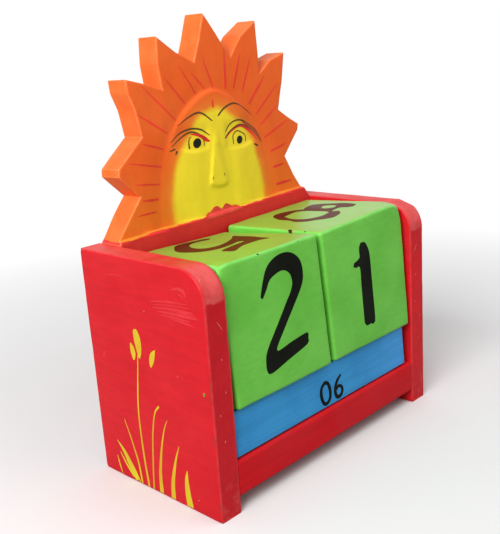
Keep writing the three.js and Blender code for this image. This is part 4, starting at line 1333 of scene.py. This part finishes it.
SUN_STROKES = {
    "ray_lines": (
        LINE_RED,
        [
            [(x0, z0, RAY_TIP_SHARE * half), (0.5 * (x0 + x1), 0.5 * (z0 + z1), half),
             (x1, z1, RAY_ROOT_SHARE * half)]
            for x0, z0, x1, z1, half in RAY_LINES
        ],
    ),
    "forehead_mark": (LINE_RED, [[(-1.3, 37.6, 0.2), (-1.2, 36.6, 0.42), (-1.1, 35.5, 0.46)]]),
    "lid_shadows": (
        LIP_RED,
        [
            [(-10.8, 27.9, 0.15), (-9, 27.7, 0.4), (-6.8, 26.9, 0.55), (-5, 25.8, 0.65),
             (-3.9, 25.1, 0.3)],
            [(3.4, 24.9, 0.1), (6.8, 27.1, 0.22), (10.6, 28.2, 0.3), (13.8, 27, 0.4),
             (16.4, 25, 0.3), (18.6, 22.8, 0.1)],
        ],
    ),
    "right_lid_shade": (
        SHADE_BROWN,
        [[(12, 29.4, 0.2), (14.6, 28.1, 0.6), (17, 26.3, 0.8), (18.9, 24.3, 0.6),
          (20.3, 22.2, 0.2)]],
    ),
    "brows_and_lids": (
        LINE_BROWN,
        [
            [(-16, 31, 0.08), (-12.5, 32.8, 0.2), (-8.5, 34.1, 0.3), (-5.6, 33.6, 0.28),
             (-2.1, 31.2, 0.2)],
            [(0.8, 32.5, 0.28), (3.2, 34.3, 0.3), (6.4, 35.5, 0.3), (9.1, 35.4, 0.24),
             (13.2, 33.6, 0.18), (16.6, 31.2, 0.06)],
            [(-19, 26.5, 0.1), (-15.3, 28.7, 0.22), (-11.1, 29.6, 0.28), (-6.7, 28.9, 0.24),
             (-3.5, 26.9, 0.14)],
            [(-18.8, 25.1, 0.08), (-15.2, 27.2, 0.2), (-11.8, 28.5, 0.26), (-8.6, 28.1, 0.24),
             (-3.6, 25.2, 0.16)],
            [(3.8, 27.2, 0.2), (6.4, 29.6, 0.22), (10.1, 30.2, 0.24), (14, 28.8, 0.2),
             (16.6, 27, 0.1)],
            [(3.4, 25.3, 0.22), (6.6, 27.4, 0.24), (10.3, 28.6, 0.26), (14.2, 27.5, 0.22),
             (18.6, 24.3, 0.1)],
            [(-11.9, 23.9, 0.3), (-12, 25.3, 0.24), (-11.7, 26.6, 0.16), (-10.9, 27.2, 0.1)],
            [(-5.9, 23.9, 0.12), (-5.7, 24.8, 0.16), (-6, 25.7, 0.14), (-6.7, 26.4, 0.08)],
            [(7.1, 22.9, 0.14), (7, 24.3, 0.18), (7.2, 25.7, 0.16), (9.1, 26.8, 0.18),
             (12.3, 25.5, 0.16), (13, 24.3, 0.18), (12.9, 23.1, 0.12)],
            [(-19.6, 23.9, 0.15), (-17.8, 24.3, 0.24)],
            [(-17.1, 23.4, 0.35), (-17.6, 22.6, 0.12)],
            [(16.9, 21.6, 0.2), (17.9, 21.2, 0.36), (18.6, 20.9, 0.2)],
        ],
    ),
    "pupils": (
        BLACK_INK,
        [
            [(-8.9, 24.9, 1.42), (-8.65, 25, 1.52), (-8.35, 25.1, 1.42)],
            [(9.95, 23.8, 1.28), (10.05, 23.85, 1.34), (10.15, 23.9, 1.28)],
        ],
    ),
    "nostrils": (
        DOT_OLIVE,
        [[(-3.75, 13.3, 0.3), (-3.75, 13.6, 0.3)], [(1.4, 13.8, 0.3), (1.4, 14.1, 0.3)]],
    ),
}
LIP_OUTLINE = [
    (-8.8, 1.2), (-6.8, 2.1), (-5.4, 3.1), (-3.9, 4.2), (-2.5, 4.3), (-1.6, 3.8), (-0.6, 3.1),
    (0.4, 3.9), (1.3, 4.5), (2.7, 4.1), (4.3, 3.1), (5.7, 2.5), (7.3, 2.3), (8.2, 1.8),
    (4.9, 1.5), (1.3, 1.3), (-2.2, 1.1), (-5.6, 1),
]
sun_wall = ((0, board_low.y, PANEL_TOP), (1, 0, 0), (0, 0, 1))
for mark_name, (ink, strokes) in SUN_STROKES.items():
    thin_ink = tuple(THIN_INK * part for part in ink)
    lay_marks(
        f"sun_{mark_name}", brushed(strokes, FEATURE_STEP), FEATURE_SPACING, sun_wall, sun,
        mark_paint(f"{mark_name}_paint", ink, thin_ink, ink, (1, 1, 0.5)), "frame",
        THICK_LAYER if mark_name == "right_lid_shade" else PAINT_LAYER,
    )
lips = [[point * MM for point in smooth_path(LIP_OUTLINE, LIP_STEP_MM, closed=True)]]
lip_paint = painted_wood(
    "lip_paint", LIP_RED, LIP_LIGHT, LIP_LIGHT, (1, 1, 0.5), rubbed_and_lit=0.0, scuffed=0.5
)
lay_marks(
    "sun_lips", lips, LIP_SPACING, sun_wall, sun, lip_paint, "frame", THICK_LAYER
)


# The brads are plain steel wire nails, four through each side panel into the boards between.
# Their heads are set below the wood's surface, under filler and paint, so none of them shows.
BRAD_DRAWN_SCALE = 900
STEEL_DARK = (0.32, 0.32, 0.33)
STEEL_LIGHT = (0.56, 0.56, 0.57)
steel = Mixing("brad_steel")
steel.shader.inputs["Metallic"].default_value = 1
drawn = steel.cloud(BRAD_DRAWN_SCALE, 2, roughness=0.5)
steel_color = steel.blend(drawn, STEEL_DARK, STEEL_LIGHT)
steel.tree.links.new(steel_color, steel.shader.inputs["Base Color"])
steel.tree.links.new(drawn, steel.shader.inputs["Roughness"])
for node_name, cad_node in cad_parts.items():
    if "brad" in node_name:
        for material_slot in cad_node.material_slots:
            material_slot.material = steel.material


# The calendar stands on a plain pale table, which the camera sees fade to white a little way off,
# under soft light from all round, with the stronger lamp on its left.
HALF_TABLE = 2
TABLE_WHITE = (0.80, 0.80, 0.80)
TABLE_BOUNCE = (0.42, 0.42, 0.42)
TABLE_FADE = (120 * MM, 300 * MM)
WORLD_LIGHT = 0.55
SUN_MIDDLE = Vector((0, 10, 80)) * MM
LAMPS = {
    "key": (3.7, 0.35, Vector((-0.50, -0.15, 0.40))),
    "fill": (0.18, 0.15, Vector((0.06, -0.16, 0.36))),
}

table_mesh = bpy.data.meshes.new("table")
table_ends = ((-1, -1), (1, -1), (1, 1), (-1, 1))
table_corners = [(x * HALF_TABLE, y * HALF_TABLE, 0) for x, y in table_ends]
table_mesh.from_pydata(table_corners, [], [(0, 1, 2, 3)])
table = bpy.data.objects.new("table", table_mesh)
scene.collection.objects.link(table)
white = Mixing("table_white")
seen = white.add("ShaderNodeLightPath").outputs["Is Camera Ray"]
table_color = white.blend(seen, TABLE_BOUNCE, TABLE_WHITE)
white.tree.links.new(table_color, white.shader.inputs["Base Color"])
white.shader.inputs["Roughness"].default_value = 0.9
white.shader.inputs["Specular IOR Level"].default_value = 0.1
bright = white.add("ShaderNodeEmission", {"Color": (1, 1, 1, 1)})
distance = white.add("ShaderNodeVectorMath", {0: white.place}, operation="LENGTH")
near, far = TABLE_FADE
sockets = {"Value": distance.outputs["Value"], "From Min": near, "From Max": far}
fade = white.add("ShaderNodeMapRange", sockets)
sockets = {"Fac": white.math("MULTIPLY", fade.outputs["Result"], seen)}
sockets |= {1: white.shader.outputs["BSDF"], 2: bright.outputs["Emission"]}
mixed = white.add("ShaderNodeMixShader", sockets)
white.tree.links.new(
    mixed.outputs["Shader"], white.tree.nodes["Material Output"].inputs["Surface"]
)
table_mesh.materials.append(white.material)

world = bpy.data.worlds.new("studio")
scene.world = world
world.use_nodes = True
sky_tree = world.node_tree
sky_ray = add_node(sky_tree, "ShaderNodeLightPath").outputs
seen_sky = sky_ray["Is Camera Ray"]
for ray_kind in ("Is Glossy Ray", "Is Transmission Ray"):
    sockets = {0: seen_sky, 1: sky_ray[ray_kind]}
    seen_sky = add_node(sky_tree, "ShaderNodeMath", sockets, operation="MAXIMUM").outputs[0]
sockets = {"Value": seen_sky, "To Min": WORLD_LIGHT, "To Max": 1}
sky_level = add_node(sky_tree, "ShaderNodeMapRange", sockets)
sky = sky_tree.nodes["Background"]
sky.inputs["Color"].default_value = (1, 1, 1, 1)
sky_tree.links.new(sky_level.outputs["Result"], sky.inputs["Strength"])

for lamp_name, (power, size, lamp_place) in LAMPS.items():
    lamp_data = bpy.data.lights.new(lamp_name, "AREA")
    lamp_data.energy = power
    lamp_data.size = size
    lamp = bpy.data.objects.new(lamp_name, lamp_data)
    lamp.location = lamp_place
    lamp.rotation_mode = "QUATERNION"
    lamp.rotation_quaternion = (SUN_MIDDLE - lamp_place).to_track_quat("-Z", "Y")
    scene.collection.objects.link(lamp)
